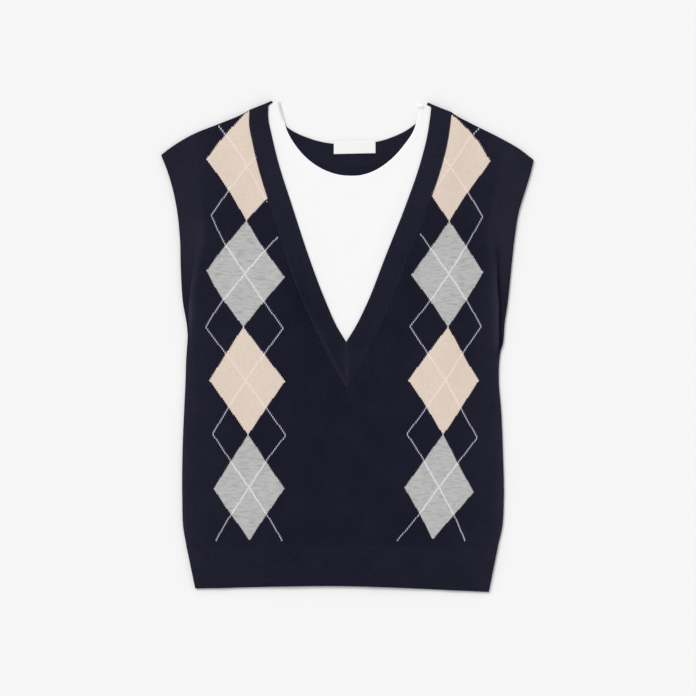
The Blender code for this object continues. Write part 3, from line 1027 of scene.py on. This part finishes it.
navy_rib = navy_finish("navy_rib")
linking_yarn = yarn_finish("linking_yarn", LINK_NAVY)
ribbing, stitches, wrapping = ribbing_tree(), stitch_tree(), wrapping_tree()
sewn_on_hem = [linking("hem_linking", hem_seam, HEM_FRONT_REST + KNIT_WALL)]
for side, outward in OUTWARD.items():
    route = straight(HEM_CORNER[side], HEM_SEAM_END[side], np.linspace(0.02, 1, END_MARKS))
    sewn_on_hem.append(edge_wrapping(
        "hem_wrapping_" + side, route[::outward] - [outward * WRAP_INSET, 0], RIB_WALL,
        front_hem_underside, linking_yarn, "navy_rib",
    ))

for side, step, underside, below, sewn_on in (
    ("back", 0.8, 0.0, "table_top", []),
    ("front", 0.4, front_hem_underside, "back_hem", sewn_on_hem),
):
    hem_grids = [hem_grid(step)]
    hem_band = rib_band(side + "_hem", hem_grids, underside, hem_seam, hem_painted_sheen, side + "_hem_band")
    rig.sheet(hem_band, held="laid", rests_on=[below], with_pieces=sewn_on, **flat_cut(hem_grids))


# ---- Back neck band ----
# A strip of the same rib, picked up along the round back neck and bound off at its inner edge. Its
# ends are joined to the V bands at the shoulders.

BACK_NECK_LENGTH = 270.0
# painted sheen on the back neck band
BACK_NECK_SHEEN = 0.36
BACK_LINK_HEIGHT = KNIT_WALL + 0.05
BAND_STEP, BAND_STEP_ACROSS = 0.4, 2.6


def band_grid(band, length, shift=0.0):
    """A neck band, finest along its run, with its run along the middle and its reach across."""
    fraction = steps_across(length, BAND_STEP)
    across = steps_across(NECK_BAND_WIDTH, BAND_STEP_ACROSS)
    grid = band(fraction[:, None], across[None, :]) + [shift, 0]
    run = run_length(band(fraction, 0.5))[:, None]
    reach = across * NECK_BAND_WIDTH
    return np.dstack([grid, *(np.broadcast_to(part, grid.shape[:2]) for part in (run, reach))])


def strip_cut(grids):
    """Flat size of a band, which is knitted straight: its width and the length of its middle."""
    return {"flat": (NECK_BAND_WIDTH * MM, float(grids[0][-1, 0, 2]) * MM)}


neck_grids = [band_grid(back_band, BACK_NECK_LENGTH)]
neck_band = rib_band("back_neck_rib", neck_grids, 0.0, back_neck_seam, BACK_NECK_SHEEN, "back_neck_band")
neck_linking = linking("neck_linking", back_neck_seam, BACK_LINK_HEIGHT)
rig.sheet(
    neck_band, held="laid", rests_on=["table_top"], with_pieces=[neck_linking], **strip_cut(neck_grids)
)


# ---- Neck label ----
# A soft white woven strip, folded double and sewn flat to the inside of the back neck band by its
# ends, a little askew. It carries no words.

LABEL_WIDTH, LABEL_DEPTH, LABEL_WALL = 50.0, 15.0, 1.0
LABEL_CENTRE = (9.2, 238.3)
LABEL_SLANT = 0.022
LABEL_STEP = 1.3
LABEL_REST = RIB_WALL + SEAM_GAP
LABEL_CROWN, LABEL_END_SLOPE = 0.5, 1.25
LABEL_WHITE = (0.927, 0.927, 0.918)
LABEL_THREAD = 0.32
FLOAT_THREADS, FLOAT_STEP = 5, 0.4  # how long a float runs, and its step from row to row


def label_finish():
    """A close satin weave: long floats side by side, stepped from row to row."""
    finish = new_finish("label_weave", LABEL_WHITE, roughness=0.55, specular=0.3)
    tree = finish.node_tree
    across, up = place_in_knit(tree)
    threads = up / LABEL_THREAD
    along_float = across / (LABEL_THREAD * FLOAT_THREADS) + threads.math("FLOOR") * FLOAT_STEP
    along_float = along_float.math("FRACT").between(-1.0, 1.0)
    thread = threads.math("FRACT").between(-1.0, 1.0)
    float_end = along_float * along_float
    relief = (thread * thread).between(1.0, 0.4) * (float_end * float_end).between(1.0, 0.5)
    # Painted shade where the weave sinks between its threads and floats.
    return dress(finish, shaded(tree, LABEL_WHITE, relief.between(0.88, 1.02)), relief, depth=0.06)


def label_underside(points):
    """The ends lie down on the band, and the middle stands up softly."""
    across = (points[:, 0] - LABEL_CENTRE[0]) / (LABEL_WIDTH / 2)
    return LABEL_REST + LABEL_CROWN * smooth_step(LABEL_END_SLOPE * (1 - np.abs(across)))


def label_weaving(points):
    return points[:, :2]


label_grid = np.stack(np.meshgrid(
    LABEL_CENTRE[0] + (steps_across(LABEL_WIDTH, LABEL_STEP) - 0.5) * LABEL_WIDTH,
    LABEL_CENTRE[1] + (steps_across(LABEL_DEPTH, LABEL_STEP) - 0.5) * LABEL_DEPTH,
), axis=-1)
label_grid[..., 1] += (label_grid[..., 0] - LABEL_CENTRE[0]) * LABEL_SLANT
label = lay_cloth(
    "label", [label_grid], label_underside, LABEL_WALL, label_finish(), {"knit": label_weaving}
)
give_wall(label, LABEL_WALL, "label_weave", "neck_label")
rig.sheet(label, held="laid", rests_on=["back_neck_rib"], flat=(LABEL_WIDTH * MM, LABEL_DEPTH * MM))


# ---- White inset ----
# A false undershirt of white cotton jersey: one piece with a round neck, sewn in behind the V and at
# the shoulders. Its neck edge has a narrow turned hem, which rolls over at the left strap.

JERSEY_WALL = 1.2
INSET_ALLOWANCE = 6.0
INSET_REST = RIB_WALL + SEAM_GAP
INSET_FOOT_POINT = (0, -42)
INSET_FOOT = 0.07
INSET_NECK_START = 0.68
INSET_ROWS, INSET_COLUMNS, INSET_SPAN = 100, 44, 80.0
V_EDGE = {
    "left": (
        (-1, 5), (-12.4, 24), (-24, 50), (-46, 108), (-65, 166), (-83, 223), (-90.5, 254),
        (-94.1, 272), (-94.3, 292),
    ),
    "right": (
        (-1, 5), (10.6, 24), (23.4, 50), (46.2, 108), (69.2, 166), (88.8, 223), (96, 252),
        (99, 271), (101.2, 289.8),
    ),
}
V_SHOULDER_FADE = 180.0
CORNER_START, CORNER_ACROSS = 0.984, 0.2  # the part of a V band's end that is drawn out
INSET_NECK = {
    "left": (
        (4, 204.2), (-6, 204.9), (-24, 209.9), (-44, 221.8), (-62, 241.2), (-73, 261.5),
        (-76.3, 277), (-81, 294),
    ),
    "right": (
        (4, 204.2), (14, 204.6), (31, 209.5), (50, 221.6), (68, 240.6), (81, 261.3),
        (84.5, 277), (85, 292),
    ),
}
TURNED_EDGE, TURNED_FADE, TURNED_RISE = 5.0, 3.0, 0.2
JERSEY_WHITE = (0.965, 0.965, 0.965)
JERSEY_GAUGE = 0.75
# Three soft folds, and a small pucker where the right strap meets the shoulder.
INSET_FOLDS = table(
    FOLD,
    ((-70, 200), (-20, 60), 16, 0.5),
    ((66, 210), (24, 90), 14, 0.4),
    ((-8, 200), (4, 110), 20, 0.35),
    ((81, 288.0), (92.5, 287.0), 3.2, 2.3),
)
STRAP_ROLL, STRAP_ROLL_WIDTH = 2.6, 4.6  # how far down the left strap's edge rolls, and how wide
STRAP_ROLL_LEVEL, STRAP_ROLL_REACH = 283.0, 17.0
ROLL_PAINTED_SHADE = 0.26  # how much painted shade darkens the rolled hem


def v_band_places(side, fraction, across):
    """Places on a V band, the inner corner of its end drawn out to the tip of the neckline."""
    fraction, across = np.broadcast_arrays(np.asarray(fraction, float), np.asarray(across, float))
    near_end = smooth_step((fraction - CORNER_START) / (1 - CORNER_START))
    pull = near_end * np.clip(1 - across / CORNER_ACROSS, 0, 1) ** 2
    edge = V_EDGE[side]
    places = band_places(
        edge, V_SEAM_POINT, SEAM_TOP[side], -OUTWARD[side], V_SHOULDER_FADE, fraction, across
    )
    return places + pull[..., None] * np.subtract(SHOULDER[side][-1], edge[-1])


v_bands = {side: partial(v_band_places, side) for side in OUTWARD}
inset_neck_line = {side: along(INSET_NECK[side], np.linspace(0, 1, EDGE_MARKS)) for side in OUTWARD}


def inset_half(side):
    """One half of the inset: up its centre line, then round its neckline to the strap."""
    reach = 1 + INSET_ALLOWANCE / NECK_BAND_WIDTH
    steps = np.linspace(0, 1, INSET_ROWS + 1)
    body = v_bands[side](INSET_FOOT + (INSET_NECK_START - INSET_FOOT) * steps, reach)
    strap = v_bands[side](INSET_NECK_START + (1 - INSET_NECK_START) * steps, reach)
    outer = np.concatenate([body, strap[1:]])
    neck = INSET_NECK[side]
    inner = np.concatenate([straight(INSET_FOOT_POINT, neck[0], steps), along(neck, steps)[1:]])
    across = steps_across(INSET_SPAN, INSET_SPAN / INSET_COLUMNS)
    bottom, top = (straight(outer[end], inner[end], across) for end in (0, -1))
    return patch(bottom, top, outer, inner, across)


def jersey_knitting(points):
    return points[:, :2] / JERSEY_GAUGE


def jersey_finish():
    finish = new_finish("white_jersey", JERSEY_WHITE, roughness=0.9, specular=0.15, sheen_weight=0.04)
    tree = finish.node_tree
    relief, _, _ = plain_stitches(*place_in_knit(tree))
    # Painted shade between the stitches, a slight random tone, and painted shade on the rolled hem at the left strap.
    light = relief.between(0.97, 1.01) * noise(tree, 40.0).between(0.994, 1.006)
    light = light * mark_of(tree, "rolled").between(1.0, 1.0 - ROLL_PAINTED_SHADE)
    return dress(finish, shaded(tree, JERSEY_WHITE, light), relief, depth=0.07)


def turned_neck(points):
    """How much higher the turned edge stands, which is double."""
    off = distance_to(points, np.concatenate(list(inset_neck_line.values())))
    return TURNED_RISE * (1 - smooth_step((off - TURNED_EDGE) / TURNED_FADE))


def strap_roll(points):
    """How much the left strap's neck edge rolls over: most at one level, and gone past the reach."""
    off = distance_to(points, inset_neck_line["left"])
    here = np.clip(1 - ((points[:, 1] - STRAP_ROLL_LEVEL) / STRAP_ROLL_REACH) ** 2, 0, 1)
    return here * smooth_step((STRAP_ROLL_WIDTH - off) / (STRAP_ROLL_WIDTH - 1))


def inset_underside(points):
    rise = turned_neck(points) + fold_rise(INSET_FOLDS, points)
    return INSET_REST + rise - STRAP_ROLL * strap_roll(points)


inset_grids = [inset_half(side) for side in OUTWARD]
inset = lay_cloth(
    "inset", inset_grids, inset_underside, JERSEY_WALL, jersey_finish(),
    {"knit": jersey_knitting, "rolled": strap_roll},
)
give_wall(inset, JERSEY_WALL, "white_jersey", "inset_panel")
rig.sheet(inset, held="laid", rests_on=["back_knit", "back_neck_rib"], **flat_cut(inset_grids))


# ---- Argyle front ----
# The front is knitted like the back, with two columns of beige and grey heather diamonds knitted in
# as separate yarns. A strip of it lies flat along each armhole, and the body folds up beside it.

FRONT_REST = KNIT_WALL + SEAM_GAP
FRONT_OVER_INSET = INSET_REST + JERSEY_WALL + SEAM_GAP
FRONT_STEP_BELOW, FRONT_STEP_ABOVE = 3.2, 2.4  # between rows, below the V and beside it
SETTLE_START = INSET_ALLOWANCE + 2.0
SETTLE_END = 34.0

# Folds of the front beside the armholes. Along each armhole edge the cloth lies flat in a strip of
# this width, left and right; past it the body stands up by the rise, over a flank of this width.
ARMHOLE_TUCK = table(
    "level left right flank rise",
    (-14, 1.5, 1.0, 3.0, 0.0),
    (0, 2.0, 3.4, 2.5, 1.6),
    (20, 2.4, 5.4, 2.2, 2.6),
    (34, 3.6, 7.0, 2.2, 3.0),
    (50, 6.8, 9.6, 2.2, 3.2),
    (72, 11.0, 13.4, 2.2, 3.2),
    (100, 15.7, 16.2, 3.5, 2.7),
    (122, 17.0, 18.0, 9.0, 2.0),
    (155, 17.0, 18.0, 12.0, 1.2),
    (205, 20.0, 22.0, 14.0, 0.0),
)
ARMHOLE_FOOT = 2.0
TUCK_FALL = 22.0  # from the top of the fold, how far in the body settles again
LEAST_STRIP = 2.0
STRIP_COLUMNS = np.array([0.25, 0.5, 0.75, 1])
FALL_COLUMNS = np.array([0.06, 0.14, 0.25, 0.4, 0.55, 0.7, 0.85, 1])
CHEST_COLUMNS = 48

# Painted light beside the armholes: in the strip, on the flank of each fold and on its crest. The crests take a
# painted highlight, and the right flank painted shade low down.
ARMHOLE_PAINTED_LIGHT = table(
    "level strip left_flank right_flank left right",
    (-14, 0.4, 0.4, 0.2, 0.3, 0.8),
    (0, 0.4, 0.6, -0.8, 0.6, 2.2),
    (20, 0.4, 1.0, -0.8, 1.5, 2.6),
    (36, 0.3, 1.2, -0.8, 3.0, 2.6),
    (55, 0.3, 1.0, -0.8, 2.2, 2.4),
    (80, 0.6, 1.0, -0.7, 1.6, 1.8),
    (101, 0.9, 1.0, 0.1, 1.4, 1.2),
    (133, 1.0, 1.0, 0.9, 1.1, 1.0),
    (165, 0.9, 0.9, 0.9, 0.8, 0.9),
    (205, 0.7, 0.7, 0.8, 0.6, 0.8),
    (229, 0.6, 0.6, 0.7, 0.6, 0.7),
)
PAINTED_LIGHT_START = 16.0
CREST_HIGHLIGHT_FALL = {"left": 4.5, "right": 6.5}
SHADE_REACH = {"left": 1.2, "right": 3.6}  # how far out on the strip the painted shade of the fold reaches
DIP_PAINTED_SHADE = -0.48  # painted shade beside the left V seam, in a long patch
DIP_CENTRE, DIP_LEAN = (-53, 43), 0.4
DIP_HALF_WIDTH, DIP_HALF_LENGTH = 17.0, 36.0
FRONT_FOLDS = table(
    FOLD,
    ((-190, 172), (-176, 154), 5, 0.8),
    ((172, 174), (190, 153), 5, 0.8),
    ((-150, 205), (-120, 40), 26, 0.6),
    ((150, 190), (118, 20), 24, 0.5),
    ((-168, -60), (-140, -215), 22, 0.5),
    ((160, -80), (142, -225), 24, 0.6),
    ((-20, -95), (40, -150), 26, 0.4),
)
DIAMOND_COURSES = 53.6
DIAMOND_TOP = 233.8
DIAMONDS = 4
BEIGE = (0.841, 0.706, 0.598)
GREY = (0.567, 0.567, 0.561)
HEATHER_DARK = (0.290, 0.288, 0.295)
HEATHER_START, HEATHER_CONTRAST, HEATHER_SHARE = 0.46, 3.6, 0.66


def tuck_at(side, levels):
    """Width of the strip along the armhole edge, of the fold's flank, and the fold's rise."""
    return [column(ARMHOLE_TUCK, name, levels) for name in (side, "flank", "rise")]


def columns_across(side, level, width):
    """Where the columns of one row of the front stand: close on the armhole fold, then evenly."""
    strip, flank, _ = tuck_at(side, level)
    strip = max(strip, LEAST_STRIP)
    rim = RIM_STEPS[-1]
    fall = strip + flank + TUCK_FALL * FALL_COLUMNS
    on_strip, on_flank = rim + (strip - rim) * STRIP_COLUMNS, strip + flank * STRIP_COLUMNS
    chest = np.linspace(fall[-1], width - RIM_END, CHEST_COLUMNS + 1)[1:]
    stands = [RIM_STEPS, on_strip, on_flank, fall, chest, width - RIM_STEPS[::-1]]
    return np.concatenate(stands) / width


def front_half(side):
    """One half of the front: from the side to the centre line, and above that to the V seam."""
    tip, apex, seam_top = TIP[side], v_bands[side](0, past_seam), v_bands[side](1, past_seam)
    below, above = apex[1] - HEM_SEAM_LEVEL, tip[1] - apex[1]
    low = steps_across(below, FRONT_STEP_BELOW, (True, False))
    high = steps_across(above, FRONT_STEP_ABOVE, (False, True))[1:]
    outer = side_places(side, np.concatenate([HEM_SEAM_LEVEL + below * low, apex[1] + above * high]))
    inner = np.concatenate([
        straight((apex[0], HEM_SEAM_LEVEL), apex, low), v_bands[side](high, past_seam)
    ])
    rows = []
    for v, out, end in zip(np.concatenate([low, 1 + 2 * high]) / 3, outer, inner):
        across = columns_across(side, out[1], math.dist(out, end))
        arch = along(shoulder_to(side, seam_top), across) - straight(tip, seam_top, across)
        rows.append(straight(out, end, across) + v * arch)
    return np.array(rows)


def beside_armhole(points):
    """For each side: its points, their level and how far in they lie, and the fold's sizes there."""
    for side, on_side in (("left", points[:, 0] < 0), ("right", points[:, 0] >= 0)):
        level = points[on_side, 1]
        inward = np.abs(points[on_side, 0] - side_at(side, level))
        yield side, on_side, level, inward, *tuck_at(side, level)


def tuck_rise(points):
    rise = np.zeros(len(points))
    for _, on_side, _, inward, strip, flank, height in beside_armhole(points):
        up = smooth_step((inward - strip) / flank)
        rise[on_side] = height * up * (1 - smooth_step((inward - strip - flank) / TUCK_FALL))
    return rise


def front_underside(points):
    settle = smooth_step((distance_to(points, v_seam) - SETTLE_START) / (SETTLE_END - SETTLE_START))
    base = FRONT_OVER_INSET + (FRONT_REST - FRONT_OVER_INSET) * settle
    return base + tuck_rise(points) + fold_rise(FRONT_FOLDS, points)


def painted_dip_shade(points):
    """The patch of painted shade at the left V seam, which leans with the seam."""
    up = points[:, 1] - DIP_CENTRE[1]
    off = points[:, 0] - DIP_CENTRE[0] + DIP_LEAN * up
    return DIP_PAINTED_SHADE * np.exp(-(off / DIP_HALF_WIDTH) ** 2 - (up / DIP_HALF_LENGTH) ** 2)


def front_painted_light(points):
    """The painted sheen of the sides, the painted highlight and shade that the armhole folds add, and the painted
    shade at the left V seam.
    """
    nap = side_painted_sheen(points)
    for side, on_side, level, inward, strip, flank, _ in beside_armhole(points):
        in_strip, in_flank, on_crest = (
            column(ARMHOLE_PAINTED_LIGHT, name, level) for name in ("strip", side + "_flank", side)
        )
        on_fold = on_crest * np.exp(-np.maximum(inward - strip - flank, 0) / CREST_HIGHLIGHT_FALL[side])
        to_flank = smooth_step((inward - strip) / SHADE_REACH[side] + 1)
        to_crest = smooth_step((inward - strip - flank * 0.5) / (flank * 0.5))
        beside = in_strip * (1 - to_flank) + in_flank * to_flank
        beside = beside * (1 - to_crest) + on_fold * to_crest
        sheen_of_sides = nap[on_side]
        inner = np.maximum(sheen_of_sides, beside)
        fades = smooth_step((level - ARMHOLE_PAINTED_LIGHT[0].level) / PAINTED_LIGHT_START)
        nap[on_side] = sheen_of_sides * (1 - fades) + fades * (beside * (1 - to_crest) + inner * to_crest)
    return nap + painted_dip_shade(points)


def argyle_finish():
    """Navy stockinette with the diamonds worked in whole stitches."""
    finish = wool_finish("argyle_knit")
    tree = finish.node_tree
    relief, middle, row_middle = plain_stitches(*place_in_knit(tree))
    light = stitch_shade_and_tone(tree, relief, middle, row_middle)
    below_top = row_middle * -1.0 + DIAMOND_TOP
    half_open = below_top.math("PINGPONG", DIAMOND_COURSES) / DIAMOND_COURSES
    off_axis = abs(abs(middle) - DIAMOND_AXIS) / DIAMOND_WALES
    inside = off_axis.math("LESS_THAN", half_open) * below_top.math("GREATER_THAN", 0.0)
    inside = inside * below_top.math("LESS_THAN", 2 * DIAMONDS * DIAMOND_COURSES)
    second = (below_top / (2 * DIAMOND_COURSES)).math("FLOOR").math("MODULO", 2.0)
    streak = noise(tree, 0.6, 3.0, vector_of(tree, middle * 0.22, row_middle))
    fleck = ((streak - HEATHER_START) * HEATHER_CONTRAST).clipped()
    heather = blend_of(tree, fleck * HEATHER_SHARE, GREY, HEATHER_DARK)
    pale = shaded(tree, blend_of(tree, second, BEIGE, heather), light.between(0.65, 1.0))
    return dress(finish, blend_of(tree, inside, navy_with_painted_light(tree, light), pale), relief, STITCH_DEPTH)


v_seam = np.concatenate([band(np.linspace(0, 1, SEAM_MARKS), on_seam) for band in v_bands.values()])
front_grids = {side: front_half(side) for side in OUTWARD}
front = lay_cloth(
    "argyle_front", front_grids.values(), front_underside, KNIT_WALL, argyle_finish(),
    {"knit": knitting, "nap": front_painted_light}, np.concatenate([hem_seam, v_seam]),
)
give_wall(front, KNIT_WALL, "argyle_knit", "front_panel")

# The side seams run from the hem up to the armholes, and the shoulder seams from tip to neck band. The
# top diamonds' own yarn closes the last of the shoulder seam.
BEIGE_SEAM_START = 0.96
beige_yarn = yarn_finish("beige_yarn", BEIGE)
sewn_on_front = []
for side, outward in OUTWARD.items():
    side_route = side_places(side, np.linspace(HEM_SEAM_LEVEL, ARMHOLE_FOOT, EDGE_MARKS))
    shoulder = shoulder_to(side, v_bands[side](1, past_seam))
    shoulder_route = along(shoulder, np.linspace(0.01, BEIGE_SEAM_START, SHOULDER_MARKS))
    beige_route = along(shoulder, np.linspace(BEIGE_SEAM_START, 1, 20))
    for name, route, inset_by, yarn in (
        ("side_wrapping_" + side, side_route, [outward * WRAP_INSET, 0], linking_yarn),
        ("shoulder_wrapping_" + side, shoulder_route, [0, WRAP_INSET], linking_yarn),
        ("shoulder_end_wrapping_" + side, beige_route, [0, WRAP_INSET], beige_yarn),
    ):
        sewn_on_front.append(edge_wrapping(
            name, route[::outward] - inset_by, KNIT_WALL, front_underside, yarn, "navy_knit"
        ))


# ---- V bands ----
# Two strips of the same rib, picked up along the V and mitred at its point, where they meet in a
# small upright ridge. At the shoulders they are joined to the back neck band.

V_BAND_LENGTH = 336.0
MITRE_RIDGE = table(FOLD, ((-1, 5), (0, -54), 6, 0.8))
V_LINK_LIFT = KNIT_WALL + 0.3
# Painted sheen on the V bands, more towards the top.
V_SHEEN, V_UPPER_SHEEN, V_UPPER_LEVEL, V_UPPER_RISE = 0.25, 0.33, 20.0, 240.0
POINT_LEVEL, POINT_RISE = 10.0, 60.0  # the painted highlight fades from this level, over this rise
HIGHLIGHT_LINE, HIGHLIGHT_LINE_FALL = 1.0, 1.6
HIGHLIGHT_LINE_END, HIGHLIGHT_LINE_ACROSS = 0.4, 0.96  # how far up the left band it goes, and where it lies across
MITRE_MARKS = 120


def v_band_underside(points):
    return FRONT_OVER_INSET + fold_rise(MITRE_RIDGE, points)


def v_link_height(points):
    return v_band_underside(points) + V_LINK_LIFT


def v_band_painted_light(points):
    """Painted sheen, more on the upper band, a painted highlight along the left seam and the mitre near the point, and
    the painted shade at the left V seam.
    """
    upper = V_SHEEN + V_UPPER_SHEEN * smooth_step((points[:, 1] - V_UPPER_LEVEL) / V_UPPER_RISE)
    near_point = 1 - smooth_step((points[:, 1] - POINT_LEVEL) / POINT_RISE)
    on_line = np.exp(-distance_to(points, painted_highlight_lines) / HIGHLIGHT_LINE_FALL)
    return upper + HIGHLIGHT_LINE * near_point * on_line + painted_dip_shade(points)


mitre = straight(MITRE_RIDGE[0].start, V_SEAM_POINT, np.linspace(0, 1, MITRE_MARKS))
highlight_seam = v_bands["left"](np.linspace(0, HIGHLIGHT_LINE_END, SHOULDER_MARKS), HIGHLIGHT_LINE_ACROSS)
painted_highlight_lines = np.concatenate([highlight_seam, mitre])
v_edges = np.concatenate([v_seam, mitre])
for side, band in v_bands.items():
    outward = OUTWARD[side]
    v_grids = [band_grid(band, V_BAND_LENGTH, outward * SEAM_GAP / 2)]
    v_band = rib_band("v_rib_" + side, v_grids, v_band_underside, v_edges, v_band_painted_light, "v_band_" + side)
    v_route = band(np.linspace(0.003, 1, SEAM_MARKS), on_seam)
    end_route = band(1, np.linspace(1, 0.01, END_MARKS))[::outward] - [0, WRAP_INSET]
    sewn_on = [
        linking("v_linking_" + side, v_route, v_link_height),
        edge_wrapping(
            "band_end_wrapping_" + side, end_route, RIB_WALL, FRONT_OVER_INSET, linking_yarn, "navy_rib"
        ),
    ]
    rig.sheet(
        v_band, held="laid", rests_on=["inset", "back_knit"], with_pieces=sewn_on, **strip_cut(v_grids)
    )


# ---- Argyle lines ----
# Thin crossing lines of off-white yarn, darned over the finished front in duplicate stitches, one on
# each course. They lie full on the diamonds and take a cast of their yarn. On the navy, the pile of
# the ground closes over their sides.

DARNINGS = table(
    "ground width yarn colour",
    ("navy", 1.15, 0.5, (0.61, 0.605, 0.71)),
    ("beige", 2.3, 0.7, (0.95, 0.84, 0.78)),
    ("grey", 2.15, 0.72, (0.87, 0.87, 0.865)),
)
DARN_HEIGHT = KNIT_WALL + 0.12
DARN_TOP_COURSE = 250
MAP_STEPS, MAP_SHARE = 25, 0.8  # how a stitch's place is found: in steps, each most of the way
DARN_MARGIN = 0.9  # how far in from the cut edge the last stitch stands
BAND_MARGIN = 2.4  # on the navy, how far from the V seam
WIDE_WALE = 1.6  # where the wales are drawn wider than this, the stitches are stretched with them


def places_of_stitches(cells):
    """Where the stitches of these wales and courses lie: the knit map, read backwards."""
    middle = WALES_RUN[len(WALES_RUN) // 2]
    scale = np.array([(middle.right - middle.left) / 2 / DIAMOND_AXIS, COURSE])
    places = cells * scale
    for _ in range(MAP_STEPS):
        places = places + (cells - knitting(places)) * scale * MAP_SHARE
    return places


def drawn_wide(places):
    """How much the stitches at the places are stretched across."""
    wale_width = 1 / (knitting(places + [0.5, 0]) - knitting(places - [0.5, 0]))[:, 0]
    return np.maximum(wale_width / WIDE_WALE, 1) ** 2


def within(points, outline, margin):
    """Whether each point lies inside the outline by more than the margin."""
    inside = np.zeros(len(points), bool)
    for (ax, ay), (bx, by) in zip(outline, np.roll(outline, -1, axis=0)):
        crosses = (ay > points[:, 1]) != (by > points[:, 1])
        if crosses.any():
            meets = ax + (points[:, 1] - ay) / (by - ay) * (bx - ax)
            inside ^= crosses & (points[:, 0] < meets)
    return inside & (distance_to(points, outline) > margin)


def outline_of(grid):
    """The edge of a grid, walked once round."""
    return np.concatenate([grid[0], grid[1:, -1], grid[-1, -2::-1], grid[-2:0:-1, 0]])[:, :2]


def darned_cells(outward, ground):
    """Wale and course of each stitch, on one ground, of the two lines of one column."""
    cells = set()
    bottom = DIAMOND_TOP - 2 * DIAMONDS * DIAMOND_COURSES
    for course in np.arange(math.ceil(bottom) + 0.5, DARN_TOP_COURSE):
        phase = (DIAMOND_TOP - course) / DIAMOND_COURSES
        open_share = 1 - abs((phase + 1) % 2 - 1)
        on_diamond = open_share < 0.5 and phase > 0
        here = ("beige", "grey")[int(phase // 2) % 2] if on_diamond else "navy"
        if here == ground:
            for way in (-1, 1):
                wale = outward * DIAMOND_AXIS + way * DIAMOND_WALES * open_share
                cells.add((math.floor(wale) + 0.5, float(course)))
    return np.array(sorted(cells))


def darn_height(points):
    return front_underside(points) + DARN_HEIGHT


for ground, width, yarn, colour in DARNINGS:
    darn_yarn = yarn_finish("darning_yarn_on_" + ground, colour)
    for side, outward in OUTWARD.items():
        darned = places_of_stitches(darned_cells(outward, ground))
        darned = darned[within(darned, outline_of(front_grids[side]), DARN_MARGIN)]
        if ground == "navy":
            darned = darned[distance_to(darned, v_seam) > BAND_MARGIN]
        marks = {"turn": 0, "stretch": drawn_wide(darned)}
        sewn_on_front.append(sew(
            "argyle_lines_" + side + "_on_" + ground, raised_to(darn_height, darned), marks, stitches,
            darn_yarn, "argyle_knit", width=width, length=COURSE, thickness=yarn,
        ))
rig.sheet(
    front, held="laid", rests_on=["back_knit", "inset"], with_pieces=sewn_on_front,
    **flat_cut(front_grids.values())
)


model_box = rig.bounds()
with open("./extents.json", "w") as size_file:
    json.dump({"cad": [list(v) for v in cad_box], "model": [list(v) for v in model_box]}, size_file)
